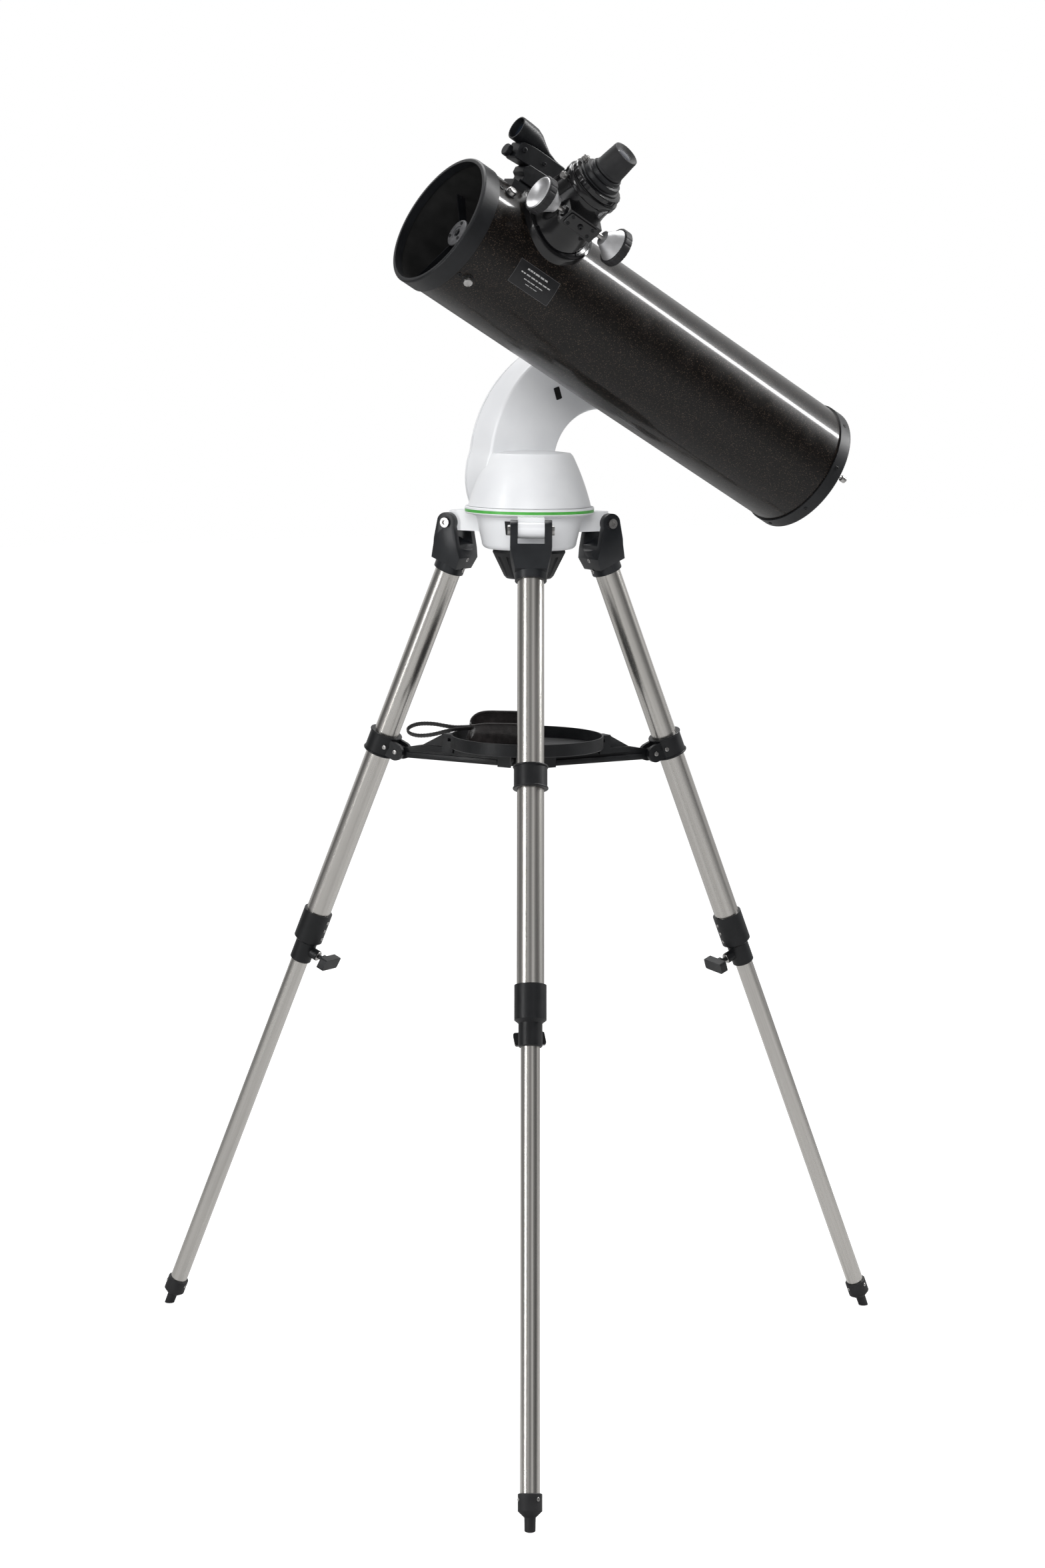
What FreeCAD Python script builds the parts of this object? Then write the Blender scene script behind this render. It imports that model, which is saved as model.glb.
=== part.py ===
"""Newtonian reflector telescope on a single-arm motorised mount and a folding steel tripod.

Row frame, millimetres: +Z up, the origin on the floor under the azimuth axis, +X towards the
mirror end of the tube, +Y from the tube towards the arm. The legs stand at 0, 120 and -120 degrees.

Leg frame: origin on the leg's hinge pin, +Z up along the leg, +X outwards.
Tube frame: origin at the centre of the front lip, +Z along the tube towards the mirror,
+X towards the arm, +Y up.
"""

import FreeCAD
import Part
import Sketcher

import math
import os
import re

Vector = FreeCAD.Vector
Rotation = FreeCAD.Rotation
Placement = FreeCAD.Placement

X_AXIS, Y_AXIS, Z_AXIS = Vector(1, 0, 0), Vector(0, 1, 0), Vector(0, 0, 1)
LEG_ANGLES = {1: 0, 2: 120, 3: -120}

SIZES = {
    # tripod head: bowl, ring and leg lugs
    "bowl_bottom": 1060, "bowl_low_r": 59, "bowl_round": 8, "bowl_top_r": 66.6, "bowl_top": 1101,
    "ring_r": 80.3, "ring_low": 1105, "ring_top": 1112.6, "shell_wall": 3.5,
    "stripe_low": 1106, "stripe_high": 1109.6, "stripe_depth": 4.3,
    "lug_width": 32.3, "lug_drop": 9.7, "lug_top": 1104.6, "lug_round": 10,
    "post_r": 12, "post_top": 1140, "gear_r": 42, "gear_low": 1126, "gear_high": 1134,
    "stud_r": 5, "stud_top": 1074, "run_gap": 0.05, "face_gap": 0.4,
    "knob_top_r": 45.4, "knob_low_r": 30.8, "knob_low": 1023, "flute_r": 3.2,
    # leg hinge and fork
    "pin_ring_r": 105.9, "pin_level": 1089.4, "pin_radius": 4, "pin_half": 25.4,
    "pin_head_r": 6.2, "pin_head_h": 3, "hex_r": 2.9,
    "leg_lean": 23.017, "leg_inset": 14.9,
    "ear_r": 12.6, "fork_half": 25.2, "slot_half": 16.5, "crotch_drop": 20,
    "sleeve_r": 19.3, "sleeve_low": 60,
    # leg tubes, counted down the leg from the hinge pin
    "upper_r": 16.15, "upper_wall": 1.5, "upper_start": 26, "upper_end": 590,
    "collar_start": 556.6, "collar_r": 19, "collar_h": 41.4, "step_r": 14.1, "step_h": 31.8,
    "lower_r": 11.3, "lower_wall": 1.2, "lower_start": 482, "lower_end": 1150,
    "boss_drop": 613, "boss_r": 7, "boss_reach": 23,
    "bolt_r": 3, "wing_near": 36, "wing_far": 46, "wing_span": 40, "wing_deep": 17,
    "foot_start": 1136.6, "foot_r": 13.85, "foot_h": 19.6, "tip_r": 6.5, "tip_start": 1163.2,
    # spreader and tray
    "band_drop": 305.5, "band_h": 27, "band_r": 20, "joint_inset": 42.1, "joint_r": 3,
    "band_ear_r": 11, "band_ear_in": 7.2, "band_ear_t": 5,
    "arm_out_r": 186.6, "arm_in_r": 28, "arm_level": 791.8, "arm_low": 785, "arm_high": 803,
    "arm_half": 6, "web_half": 1.8, "flange_t": 2.5, "flange_in_r": 40, "lug_r": 7.5,
    "gusset_r": 151, "block_in_r": 103, "block_out_r": 119, "block_high": 820, "block_half": 9,
    "hub_r": 42, "hub_low": 806, "hub_high": 809.5, "hub_ear_in": 6.3, "hub_ear_t": 3.5,
    "tray_r": 95.8, "tray_low": 810, "tray_high": 826, "tray_wall": 2,
    "pouch_long": 96, "pouch_deep": 34, "pouch_tall": 39, "pouch_x": -12.5, "pouch_y": 38,
    "pouch_turn": -31.25, "strap_width": 8,
    # rotating mount
    "dome_low": 1113.1, "dome_r": 76.4, "dome_mid_r": 67.9, "dome_mid": 1141,
    "dome_lip_r": 53.4, "dome_lip": 1175.2, "dome_top": 1182, "dome_wall": 3,
    "plate_r": 66, "plate_low": 1115, "plate_h": 5, "sleeve_wall": 6, "sleeve_top": 1124,
    "arm_front": 5, "arm_seam": 53, "arm_back": 67, "arm_wall": 3, "arm_r": 46,
    "altitude_x": 108, "shaft_r": 12, "wheel_r": 34,
    # optical tube
    "tube_r": 80, "tube_wall": 1.2, "tube_length": 606, "tube_tilt": 29.192,
    "lip_x": -209.75, "lip_y": -135.98, "lip_z": 1454.63,
    "lip_r": 76.8, "end_ring_r": 82, "front_ring_h": 22.6, "rear_ring_start": 588,
    "pivot_s": 364, "bar_length": 200, "bar_half": 21.7, "bar_neck": 18.4, "bar_low": 84,
    "bar_high": 96, "saddle_half": 40, "saddle_wide": 31, "saddle_back": 126, "disc_r": 40,
    "mirror_r": 65, "mirror_front": 560, "mirror_back": 580, "focal_length": 650,
    "knob_ring_r": 50, "collimator_r": 9,
    "vane_s": 40, "vane_deep": 12, "vane_t": 1, "spider_r": 16.75, "nut_r": 5.6,
    "second_r": 18.5, "second_t": 3,
    # focuser, frame with +Z out of the tube and +X towards the mirror
    "focus_s": 110, "focus_angle": 133, "flange_r": 52, "flange_t": 7,
    "house_low_r": 45, "house_high_r": 34.5, "house_top": 149, "draw_r": 28.9, "draw_bore": 26,
    "draw_low": 72, "draw_top": 171, "draw_ring_r": 33, "socket_r": 15.95,
    "focus_y": -38, "focus_z": 117, "spindle_r": 3,
    "grip_r": 22.5, "grip_start": 54, "grip_end": 64, "cone_r": 9, "cone_start": 36,
    "eye_barrel_r": 15.87, "eye_r": 18.5, "eye_top_r": 16, "eye_top": 203, "eye_lens_r": 9,
    # finder
    "finder_s": 80, "finder_angle": 92, "hood_r": 14.2, "hood_z": 144,
}

doc = FreeCAD.newDocument("telescope")
sheet = doc.addObject("Spreadsheet::Sheet", "Sizes")
for row, (alias, size) in enumerate(SIZES.items(), start=1):
    sheet.set(f"A{row}", alias)
    sheet.set(f"B{row}", str(size))
    sheet.setAlias(f"B{row}", alias)
doc.recompute()

# One float property that works out an expression, so that sketch geometry starts in its place.
gauge = doc.addObject("App::FeaturePython", "Gauge")
gauge.addProperty("App::PropertyFloat", "Reading")

nodes = {}


def bound(text):
    """The expression with each alias (a word with an underscore in it) addressed on the sheet."""
    return re.sub(r"\b[a-z]+(?:_[a-z0-9]+)+\b", r"Sizes.\g<0>", text)


def number(text):
    """The value of an expression in sheet aliases."""
    gauge.setExpression("Reading", bound(text))
    gauge.recompute()
    return gauge.Reading


def at(x="0", y="0", z="0"):
    return Vector(number(x), number(y), number(z))


def bind(piece, **sizes):
    for prop, text in sizes.items():
        piece.setExpression(prop, bound(text))


def cylinder(name, radius, height, place=Placement()):
    """A cylinder standing on the XY plane of its placement."""
    piece = doc.addObject("Part::Cylinder", name)
    bind(piece, Radius=radius, Height=height)
    piece.Placement = place
    return piece


def rod(name, radius, length, start, axis):
    """A cylinder from a start point along an axis."""
    return cylinder(name, radius, length, Placement(start, Rotation(Z_AXIS, axis)))


def block(name, low, high, turn=Placement()):
    """A box between two corners given as expressions."""
    piece = doc.addObject("Part::Box", name)
    bind(piece, Length=f"{high[0]} - ({low[0]})", Width=f"{high[1]} - ({low[1]})",
         Height=f"{high[2]} - ({low[2]})")
    piece.Placement = turn * Placement(at(*low), Rotation())
    return piece


def fuse(name, *parts):
    piece = doc.addObject("Part::MultiFuse", name)
    piece.Shapes = list(parts)
    return piece


def cut(name, base, *tools):
    piece = doc.addObject("Part::Cut", name)
    piece.Base = base
    piece.Tool = tools[0] if len(tools) == 1 else fuse(f"{name}_tools", *tools)
    return piece


def common(name, first, second):
    piece = doc.addObject("Part::Common", name)
    piece.Base, piece.Tool = first, second
    return piece


def sketch_on(body, role, offset="0"):
    """An empty sketch on one of the body's origin planes, moved along the plane's normal."""
    sketch = body.newObject("Sketcher::SketchObject", f"{body.Name}_outline")
    plane = next(f for f in body.Origin.OriginFeatures if f.Role == role)
    sketch.AttachmentSupport = [(plane, "")]
    sketch.MapMode = "FlatFace"
    sketch.AttachmentOffset = Placement(Vector(0, 0, number(offset)), Rotation())
    return sketch


def pin_down(sketch, element, corner, x, y):
    """Hold one vertex at two expressions measured from the sketch's origin."""
    for kind, text in (("DistanceX", x), ("DistanceY", y)):
        index = sketch.addConstraint(
            Sketcher.Constraint(kind, -1, 1, element, corner, number(text)))
        sketch.setExpression(f"Constraints[{index}]", bound(text))


def draw(sketch, outline):
    """A closed outline of (x, y) corners; ("via", x, y) bends the run that it is in into an arc."""
    corners = [p for p in outline if p[0] != "via"]
    bends = {}
    seen = 0
    for point in outline:
        if point[0] == "via":
            bends[seen - 1] = point[1:]
        else:
            seen += 1
    first = sketch.GeometryCount
    places = [at(*p) for p in corners]
    ends = []
    for i, start in enumerate(places):
        finish = places[(i + 1) % len(places)]
        if i in bends:
            through = at(*bends[i])
            if (through - start).cross(finish - start).z > 0:
                sketch.addGeometry(Part.Arc(start, through, finish), False)
                ends.append((1, 2))
            else:
                sketch.addGeometry(Part.Arc(finish, through, start), False)
                ends.append((2, 1))
        else:
            sketch.addGeometry(Part.LineSegment(start, finish), False)
            ends.append((1, 2))
    for i, (x, y) in enumerate(corners):
        after = (i + 1) % len(corners)
        sketch.addConstraint(Sketcher.Constraint(
            "Coincident", first + i, ends[i][1], first + after, ends[after][0]))
        pin_down(sketch, first + i, ends[i][0], x, y)
    for i, (x, y) in bends.items():
        mark = sketch.addGeometry(Part.Point(at(x, y)), True)
        pin_down(sketch, mark, 1, x, y)
        sketch.addConstraint(Sketcher.Constraint("PointOnObject", mark, 1, first + i))


def turned(name, outline):
    """A body of revolution about Z from (radius, height) corners."""
    body = doc.addObject("PartDesign::Body", name)
    sketch = sketch_on(body, "XZ_Plane")
    draw(sketch, outline)
    turn = body.newObject("PartDesign::Revolution", f"{name}_turn")
    turn.Profile = sketch
    turn.ReferenceAxis = (sketch, ["V_Axis"])
    turn.Angle = 360
    return body


def slab(name, role, low, high, *outlines):
    """A plate padded between two levels along the normal of an origin plane.

    XY_Plane takes (x, y) outlines and Z levels, XZ_Plane (x, z) and Y levels, and YZ_Plane
    (y, z) and X levels."""
    flipped = role == "XZ_Plane"
    body = doc.addObject("PartDesign::Body", name)
    sketch = sketch_on(body, role, f"-({low})" if flipped else low)
    for outline in outlines:
        draw(sketch, outline)
    pad = body.newObject("PartDesign::Pad", f"{name}_pad")
    pad.Profile = sketch
    pad.setExpression("Length", bound(f"{high} - ({low})"))
    pad.Reversed = flipped
    return body


def rounded(body, radius, chosen):
    """Fillet the edges of the body's last feature that a test picks."""
    doc.recompute()
    feature = body.Tip
    edges = [f"Edge{i}" for i, edge in enumerate(feature.Shape.Edges, start=1) if chosen(edge)]
    fillet = body.newObject("PartDesign::Fillet", f"{body.Name}_rounding")
    fillet.Base = (feature, edges)
    fillet.setExpression("Radius", bound(radius))
    return body


def node(name, piece, place=Placement()):
    """Name a finished sub-part and put it in its place."""
    piece.Label = name
    piece.Placement = place
    nodes[name] = piece
    return piece


def around(angle):
    return Placement(Vector(), Rotation(Z_AXIS, angle))


def leg_frame(angle):
    lean = Rotation(Y_AXIS, -SIZES["leg_lean"])
    return around(angle) * Placement(at("pin_ring_r", "0", "pin_level"), lean)


def tube_frame():
    tilt = math.radians(SIZES["tube_tilt"])
    rear = Vector(math.cos(tilt), 0, -math.sin(tilt))
    up = Vector(math.sin(tilt), 0, math.cos(tilt))
    return Placement(at("lip_x", "lip_y", "lip_z"), Rotation(Y_AXIS, up, rear, "ZXY"))


def radial_frame(station, angle):
    """In the tube frame: +Z straight out of the tube, +X towards the mirror."""
    turn = math.radians(angle)
    out = Vector(math.cos(turn), math.sin(turn), 0)
    return Placement(Vector(0, 0, station), Rotation(Z_AXIS, out.cross(Z_AXIS), out, "ZXY"))


# ---- tripod head -----------------------------------------------------------------------------

def base_bowl():
    corner = "bowl_round*(1 - 0.7071)"
    shell = turned("bowl_shell", [
        ("stud_r + run_gap", "bowl_bottom"), ("bowl_low_r - bowl_round", "bowl_bottom"),
        ("via", f"bowl_low_r - {corner}", f"bowl_bottom + {corner}"),
        ("bowl_low_r", "bowl_bottom + bowl_round"), ("bowl_top_r", "bowl_top"),
        ("ring_r - 2", "ring_low - 1.5"), ("ring_r", "ring_low"), ("ring_r", "stripe_low"),
        ("ring_r - stripe_depth", "stripe_low"), ("ring_r - stripe_depth", "stripe_high"),
        ("ring_r", "stripe_high"), ("ring_r", "ring_top - 1"), ("ring_r - 1", "ring_top"),
        ("bowl_top_r - shell_wall", "ring_top"), ("bowl_top_r - shell_wall", "bowl_top"),
        ("bowl_low_r - shell_wall", "bowl_bottom + bowl_round"),
        ("bowl_low_r - bowl_round", "bowl_bottom + shell_wall"),
        ("stud_r + run_gap", "bowl_bottom + shell_wall")])
    lugs, holes = [], []
    for leg, angle in LEG_ANGLES.items():
        lugs.append(block(f"lug_{leg}", ("60", "-lug_width/2", "pin_level - lug_drop"),
                          ("pin_ring_r", "lug_width/2", "lug_top"), around(angle)))
        centre = around(angle).multVec(at("pin_ring_r", "-lug_width/2", "pin_level"))
        along = around(angle).multVec(Y_AXIS)
        lugs.append(rod(f"lug_end_{leg}", "lug_round", "lug_width", centre, along))
        holes.append(rod(f"lug_bore_{leg}", "pin_radius", "lug_width", centre, along))
    node("base_bowl", cut("bowl_bored", fuse("bowl_with_lugs", shell, *lugs), *holes))


def stripe_ring():
    node("stripe_ring", turned("stripe", [
        ("ring_r - stripe_depth", "stripe_low"), ("ring_r", "stripe_low"),
        ("ring_r", "stripe_high"), ("ring_r - stripe_depth", "stripe_high")]))


def azimuth_post():
    """The fixed axle with the worm wheel that the azimuth motor walks round."""
    foot = "bowl_bottom + shell_wall"
    node("azimuth_post", turned("post", [
        ("0", "stud_top + 2"), ("stud_r + run_gap", "stud_top + 2"), ("stud_r + run_gap", foot),
        ("post_r + 20", foot), ("post_r + 20", f"{foot} + 5"), ("post_r", f"{foot} + 12"),
        ("post_r", "gear_low"), ("gear_r", "gear_low"), ("gear_r - 1.5", "(gear_low + gear_high)/2"),
        ("gear_r", "gear_high"), ("post_r", "gear_high"), ("post_r", "post_top"),
        ("0", "post_top")]))


def hinge_pins():
    """One bolt with a hex socket through each leg's fork and lug."""
    bolts = []
    for leg, angle in LEG_ANGLES.items():
        side = around(angle).multVec(Y_AXIS)
        centre = around(angle).multVec(at("pin_ring_r", "0", "pin_level"))
        shank = rod(f"pin_shank_{leg}", "pin_radius", "2*pin_half",
                    centre - side * number("pin_half"), side)
        parts = [shank]
        sockets = []
        for end, sign in (("near", -1), ("far", 1)):
            start = centre + side * sign * number("pin_half")
            outer = start + side * sign * number("pin_head_h")
            parts.append(rod(f"pin_head_{leg}_{end}", "pin_head_r", "pin_head_h",
                             start, side * sign))
            sockets.append(rod(f"pin_socket_{leg}_{end}", "hex_r", "pin_head_h*0.7",
                               outer - side * sign * number("pin_head_h*0.6"), side * sign))
        bolts.append(cut(f"pin_bolt_{leg}", fuse(f"pin_blank_{leg}", *parts), *sockets))
    node("hinge_pins", fuse("hinge_bolts", *bolts))


def mount_knob():
    """The fluted knob under the bowl, whose stud screws the mount down."""
    top = "bowl_bottom - face_gap"
    cone = turned("knob_cone", [
        ("0", "knob_low"), ("knob_low_r - 3", "knob_low"), ("knob_low_r", "knob_low + 3"),
        ("knob_top_r", f"{top} - 4"), ("knob_top_r - 1", top), ("stud_r", top),
        ("stud_r", "stud_top"), ("0", "stud_top")])
    flutes = []
    slope = math.atan2(number("knob_top_r - knob_low_r"), number("bowl_bottom - knob_low"))
    count = 16
    for i in range(count):
        turn = around(360 / count * i)
        start = turn.multVec(at("knob_low_r + 1.2", "0", "knob_low - 1"))
        axis = turn.multVec(Vector(math.sin(slope), 0, math.cos(slope)))
        flutes.append(rod(f"flute_{i}", "flute_r", "bowl_bottom - knob_low - 6", start, axis))
    node("mount_knob", cut("knob_fluted", cone, *flutes))


# ---- legs ------------------------------------------------------------------------------------

def fork(leg, place):
    side = slab(f"fork_side_{leg}", "XZ_Plane", "-fork_half", "fork_half", [
        ("-ear_r", "0"), ("via", "0", "ear_r"), ("ear_r", "0"),
        ("sleeve_r - leg_inset + 2", "-crotch_drop - 12"), ("sleeve_r - leg_inset", "-50"),
        ("-sleeve_r - leg_inset", "-50"), ("-sleeve_r - leg_inset - 1", "-crotch_drop - 14")])
    front = slab(f"fork_front_{leg}", "YZ_Plane", "-60", "30", [
        ("-fork_half", "ear_r + 2"), ("fork_half", "ear_r + 2"), ("fork_half", "-24"),
        ("sleeve_r", "-51"), ("-sleeve_r", "-51"), ("-fork_half", "-24")])
    sleeve = cylinder(f"fork_sleeve_{leg}", "sleeve_r", "sleeve_low - crotch_drop - 4",
                      Placement(at("-leg_inset", "0", "-sleeve_low"), Rotation()))
    body = fuse(f"fork_body_{leg}", common(f"fork_block_{leg}", side, front), sleeve)
    slot = block(f"fork_slot_{leg}", ("-60", "-slot_half", "-crotch_drop"),
                 ("30", "slot_half", "ear_r + 3"))
    socket = cylinder(f"fork_socket_{leg}", "upper_r", "sleeve_low - upper_start + 1",
                      Placement(at("-leg_inset", "0", "-sleeve_low - 1"), Rotation()))
    bore = rod(f"fork_bore_{leg}", "pin_radius + run_gap", "2*fork_half",
               at("0", "-fork_half", "0"), Y_AXIS)
    node(f"fork_{leg}", cut(f"fork_cut_{leg}", body, slot, socket, bore), place)


def pipe(name, radius, wall, start, end, place):
    """A tube along the leg between two distances below the hinge pin."""
    stand = Placement(at("-leg_inset", "0", f"-{end}"), Rotation())
    outer = cylinder(f"{name}_outer", radius, f"{end} - {start}", stand)
    inner = cylinder(f"{name}_inner", f"{radius} - {wall}", f"{end} - {start}", stand)
    node(name, cut(f"{name}_wall", outer, inner), place)


def collar(leg, place):
    middle = "-collar_start - collar_h"
    shell = turned(f"collar_shell_{leg}", [
        ("upper_r", "-collar_start"), ("collar_r", "-collar_start"), ("collar_r", middle),
        ("step_r", f"{middle} - 4"), ("step_r", f"{middle} - step_h + 1"),
        ("step_r - 1", f"{middle} - step_h"), ("lower_r + 2*run_gap", f"{middle} - step_h"),
        ("lower_r + 2*run_gap", "-upper_end"), ("upper_r", "-upper_end")])
    boss = rod(f"collar_boss_{leg}", "boss_r", "boss_reach - step_r + 1.5",
               at("-step_r + 1.5", "0", "-boss_drop"), -X_AXIS)
    bore = rod(f"collar_bore_{leg}", "bolt_r + run_gap", "boss_reach",
               at("-6", "0", "-boss_drop"), -X_AXIS)
    shifted = place * Placement(at("-leg_inset"), Rotation())
    node(f"collar_{leg}", cut(f"collar_cut_{leg}",
                              fuse(f"collar_body_{leg}", shell, boss), bore), shifted)


def lock_knob(leg, place):
    """The T-shaped clamp screw on the inner side of the collar."""
    bolt = rod(f"lock_bolt_{leg}", "bolt_r", "wing_near - lower_r - face_gap + 1",
               at("-lower_r - face_gap", "0", "-boss_drop"), -X_AXIS)
    wing = slab(f"lock_wing_{leg}", "YZ_Plane", "-wing_far", "-wing_near", [
        ("-wing_span/2 + 3", "-wing_deep/2 - boss_drop"),
        ("wing_span/2", "-wing_deep/2 + 2 - boss_drop"),
        ("wing_span/2 - 3", "wing_deep/2 - boss_drop"),
        ("-wing_span/2", "wing_deep/2 - 2 - boss_drop")])
    rounded(wing, "2.5", lambda e: abs(e.tangentAt(e.FirstParameter).x) > 0.99)
    neck = rod(f"lock_neck_{leg}", "boss_r - 1", "6", at("-wing_near + 5", "0", "-boss_drop"),
               -X_AXIS)
    shifted = place * Placement(at("-leg_inset"), Rotation())
    node(f"lock_knob_{leg}", fuse(f"lock_knob_body_{leg}", bolt, wing, neck), shifted)


def foot(leg, place):
    blank = turned(f"foot_blank_{leg}", [
        ("0", "-tip_start - 18"), ("tip_r - 0.4", "-tip_start - 18"), ("tip_r", "-tip_start"),
        ("foot_r", "-foot_start - foot_h"), ("foot_r", "-foot_start - 1"),
        ("foot_r - 1", "-foot_start"), ("lower_r", "-foot_start"), ("lower_r", "-lower_end"),
        ("0", "-lower_end")])
    inset = Placement(at("-leg_inset"), Rotation())
    level = (leg_frame(0) * inset).inverse()
    floor = block(f"foot_floor_{leg}", ("450", "-50", "-50"), ("650", "50", "0"), level)
    node(f"foot_{leg}", cut(f"foot_cut_{leg}", blank, floor), place * inset)


def spreader_band(leg, place):
    """The clamp round the leg, with two ears for the spreader arm."""
    band = cylinder(f"band_outer_{leg}", "band_r", "band_h",
                    Placement(at("-leg_inset", "0", "-band_drop - band_h/2"), Rotation()))
    ears = []
    for side, low in (("left", "band_ear_in"), ("right", "-band_ear_in - band_ear_t")):
        ears.append(block(f"band_ear_{side}_{leg}",
                          ("-joint_inset", low, "-band_drop - band_ear_r"),
                          ("-leg_inset - 10", f"{low} + band_ear_t", "-band_drop + band_ear_r")))
        ears.append(rod(f"band_ear_end_{side}_{leg}", "band_ear_r", "band_ear_t",
                        at("-joint_inset", low, "-band_drop"), Y_AXIS))
    hole = cylinder(f"band_hole_{leg}", "upper_r", "band_h + 2",
                    Placement(at("-leg_inset", "0", "-band_drop - band_h/2 - 1"), Rotation()))
    bore = rod(f"band_bore_{leg}", "joint_r + run_gap", "40", at("-joint_inset", "-20", "-band_drop"),
               Y_AXIS)
    node(f"spreader_band_{leg}",
         cut(f"band_cut_{leg}", fuse(f"band_body_{leg}", band, *ears), hole, bore), place)


# ---- spreader, tray and pouch ------------------------------------------------------------------

def spreader_arm(leg, angle):
    """An I-beam with stub axles outside and a plain lug inside, and the tray's catch on top."""
    name = f"arm_{leg}"
    web = slab(f"{name}_web", "XZ_Plane", "-web_half", "web_half", [
        ("arm_in_r", "arm_low"), ("arm_out_r - 14", "arm_low"), ("arm_out_r - 4", "arm_level - 5"),
        ("arm_out_r - 4", "arm_level + 5"), ("gusset_r", "arm_high"),
        ("block_out_r", "block_high"), ("block_in_r", "block_high"), ("block_in_r", "arm_high"),
        ("arm_in_r + 8", "arm_high"), ("arm_in_r", "arm_level + 5")])
    low = block(f"{name}_low", ("flange_in_r", "-arm_half", "arm_low"),
                ("arm_out_r - 14", "arm_half", "arm_low + flange_t"))
    high = block(f"{name}_high", ("flange_in_r", "-arm_half", "arm_high - flange_t"),
                 ("gusset_r", "arm_half", "arm_high"))
    catch = cut(f"{name}_catch",
                block(f"{name}_catch_block", ("block_in_r", "-block_half", "arm_high - flange_t"),
                      ("block_out_r", "block_half", "block_high")),
                block(f"{name}_catch_slot", ("block_in_r - 1", "-block_half - 1", "block_high - 9"),
                      ("block_in_r + 7", "block_half + 1", "block_high - 5")))
    inner = rod(f"{name}_inner", "lug_r", "2*arm_half", at("arm_in_r", "-arm_half", "arm_level"),
                Y_AXIS)
    outer = rod(f"{name}_outer", "band_ear_r - 4.2", "2*arm_half + 1.6",
                at("arm_out_r", "-arm_half - 0.8", "arm_level"), Y_AXIS)
    axle = rod(f"{name}_axle", "joint_r", "2*(band_ear_in + band_ear_t)",
               at("arm_out_r", "-band_ear_in - band_ear_t", "arm_level"), Y_AXIS)
    node(f"spreader_arm_{leg}", fuse(f"{name}_body", web, low, high, catch, inner, outer, axle),
         around(angle))


def spreader_hub():
    """A top plate with a pair of ears for each arm."""
    parts = [cylinder("hub_plate", "hub_r", "hub_high - hub_low",
                      Placement(at("0", "0", "hub_low"), Rotation()))]
    for leg, angle in LEG_ANGLES.items():
        for side, low in (("left", "hub_ear_in"), ("right", "-hub_ear_in - hub_ear_t")):
            parts.append(block(f"hub_ear_{side}_{leg}", ("arm_in_r - 9", low, "arm_level - 8"),
                               ("arm_in_r + 9", f"{low} + hub_ear_t", "hub_low + 1"),
                               around(angle)))
    node("spreader_hub", fuse("hub_body", *parts))


def tray():
    node("tray", turned("tray_dish", [
        ("0", "tray_low"), ("tray_r - 1", "tray_low"), ("tray_r", "tray_low + 1"),
        ("tray_r", "tray_high"), ("tray_r - tray_wall", "tray_high"),
        ("tray_r - tray_wall", "tray_low + tray_wall"), ("0", "tray_low + tray_wall")]))


def pouch_frame():
    return Placement(at("pouch_x", "pouch_y", "tray_low + tray_wall + 0.3"),
                     Rotation(Z_AXIS, SIZES["pouch_turn"]))


def battery_pouch():
    half, deep = "pouch_long/2", "pouch_deep/2"
    node("battery_pouch", slab("pouch", "XY_Plane", "0", "pouch_tall", [
        (f"-{half} + 12", f"-{deep}"), (f"{half} - 12", f"-{deep}"),
        ("via", half, "0"), (f"{half} - 12", deep), (f"-{half} + 12", deep),
        ("via", f"-{half}", "0")]), pouch_frame())


def pouch_strap():
    """The wrist strap: a band on its edge, whose loop slants down outside the tray's rim."""
    slant = Placement(at("-pouch_long/2", "-10", "20"),
                      Rotation(Y_AXIS, -3.2) * Rotation(X_AXIS, 55))
    node("pouch_strap", slab("strap", "XY_Plane", "-strap_width/2", "strap_width/2", [
        ("0.6", "1.7"), ("0.6", "-1.7"), ("-14", "-2.4"), ("-38", "-8"), ("-57", "-9.2"),
        ("via", "-74", "0"), ("-57", "9.2"), ("-38", "8"), ("-14", "2.4")], [
        ("-12", "0.5"), ("-12", "-0.5"), ("-38.3", "-6.2"), ("-57", "-7.4"),
        ("via", "-72.2", "0"), ("-57", "7.4"), ("-38.3", "6.2")]), pouch_frame() * slant)


# ---- rotating mount --------------------------------------------------------------------------

def arm_outline(inset, floor):
    """The elbow from the base up to the round altitude housing, drawn inset by a wall."""
    slant = f"0.72*({inset})"
    middle = "lip_z - pivot_s*sin(tube_tilt*1deg)"
    return [
        (f"-53 + {inset}", floor), ("via", f"-60 + {inset}", "1148"),
        (f"-53.5 + {inset}", "1180"), ("via", f"-20 + {slant}", f"1261 - {slant}"),
        ("altitude_x", f"{middle} + arm_r - ({inset})"),
        ("via", f"altitude_x + arm_r - ({inset})", middle),
        ("altitude_x", f"{middle} - arm_r + {inset}"),
        ("via", f"62 - {slant}", f"1214.5 + {slant}"), (f"41 - ({inset})", "1180"),
        (f"50 - ({inset})", floor)]


def dome_outline(inset):
    return [
        ("0", "dome_low"), (f"dome_r - ({inset})", "dome_low"),
        ("via", f"dome_mid_r - ({inset})", "dome_mid"),
        (f"dome_lip_r - ({inset})", f"dome_lip - ({inset})*0.3"),
        (f"dome_lip_r - 3 - ({inset})", f"dome_lip + 3 - ({inset})"),
        ("via", "27", f"dome_top - 1.3 - ({inset})"), ("0", f"dome_top - ({inset})")]


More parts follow.
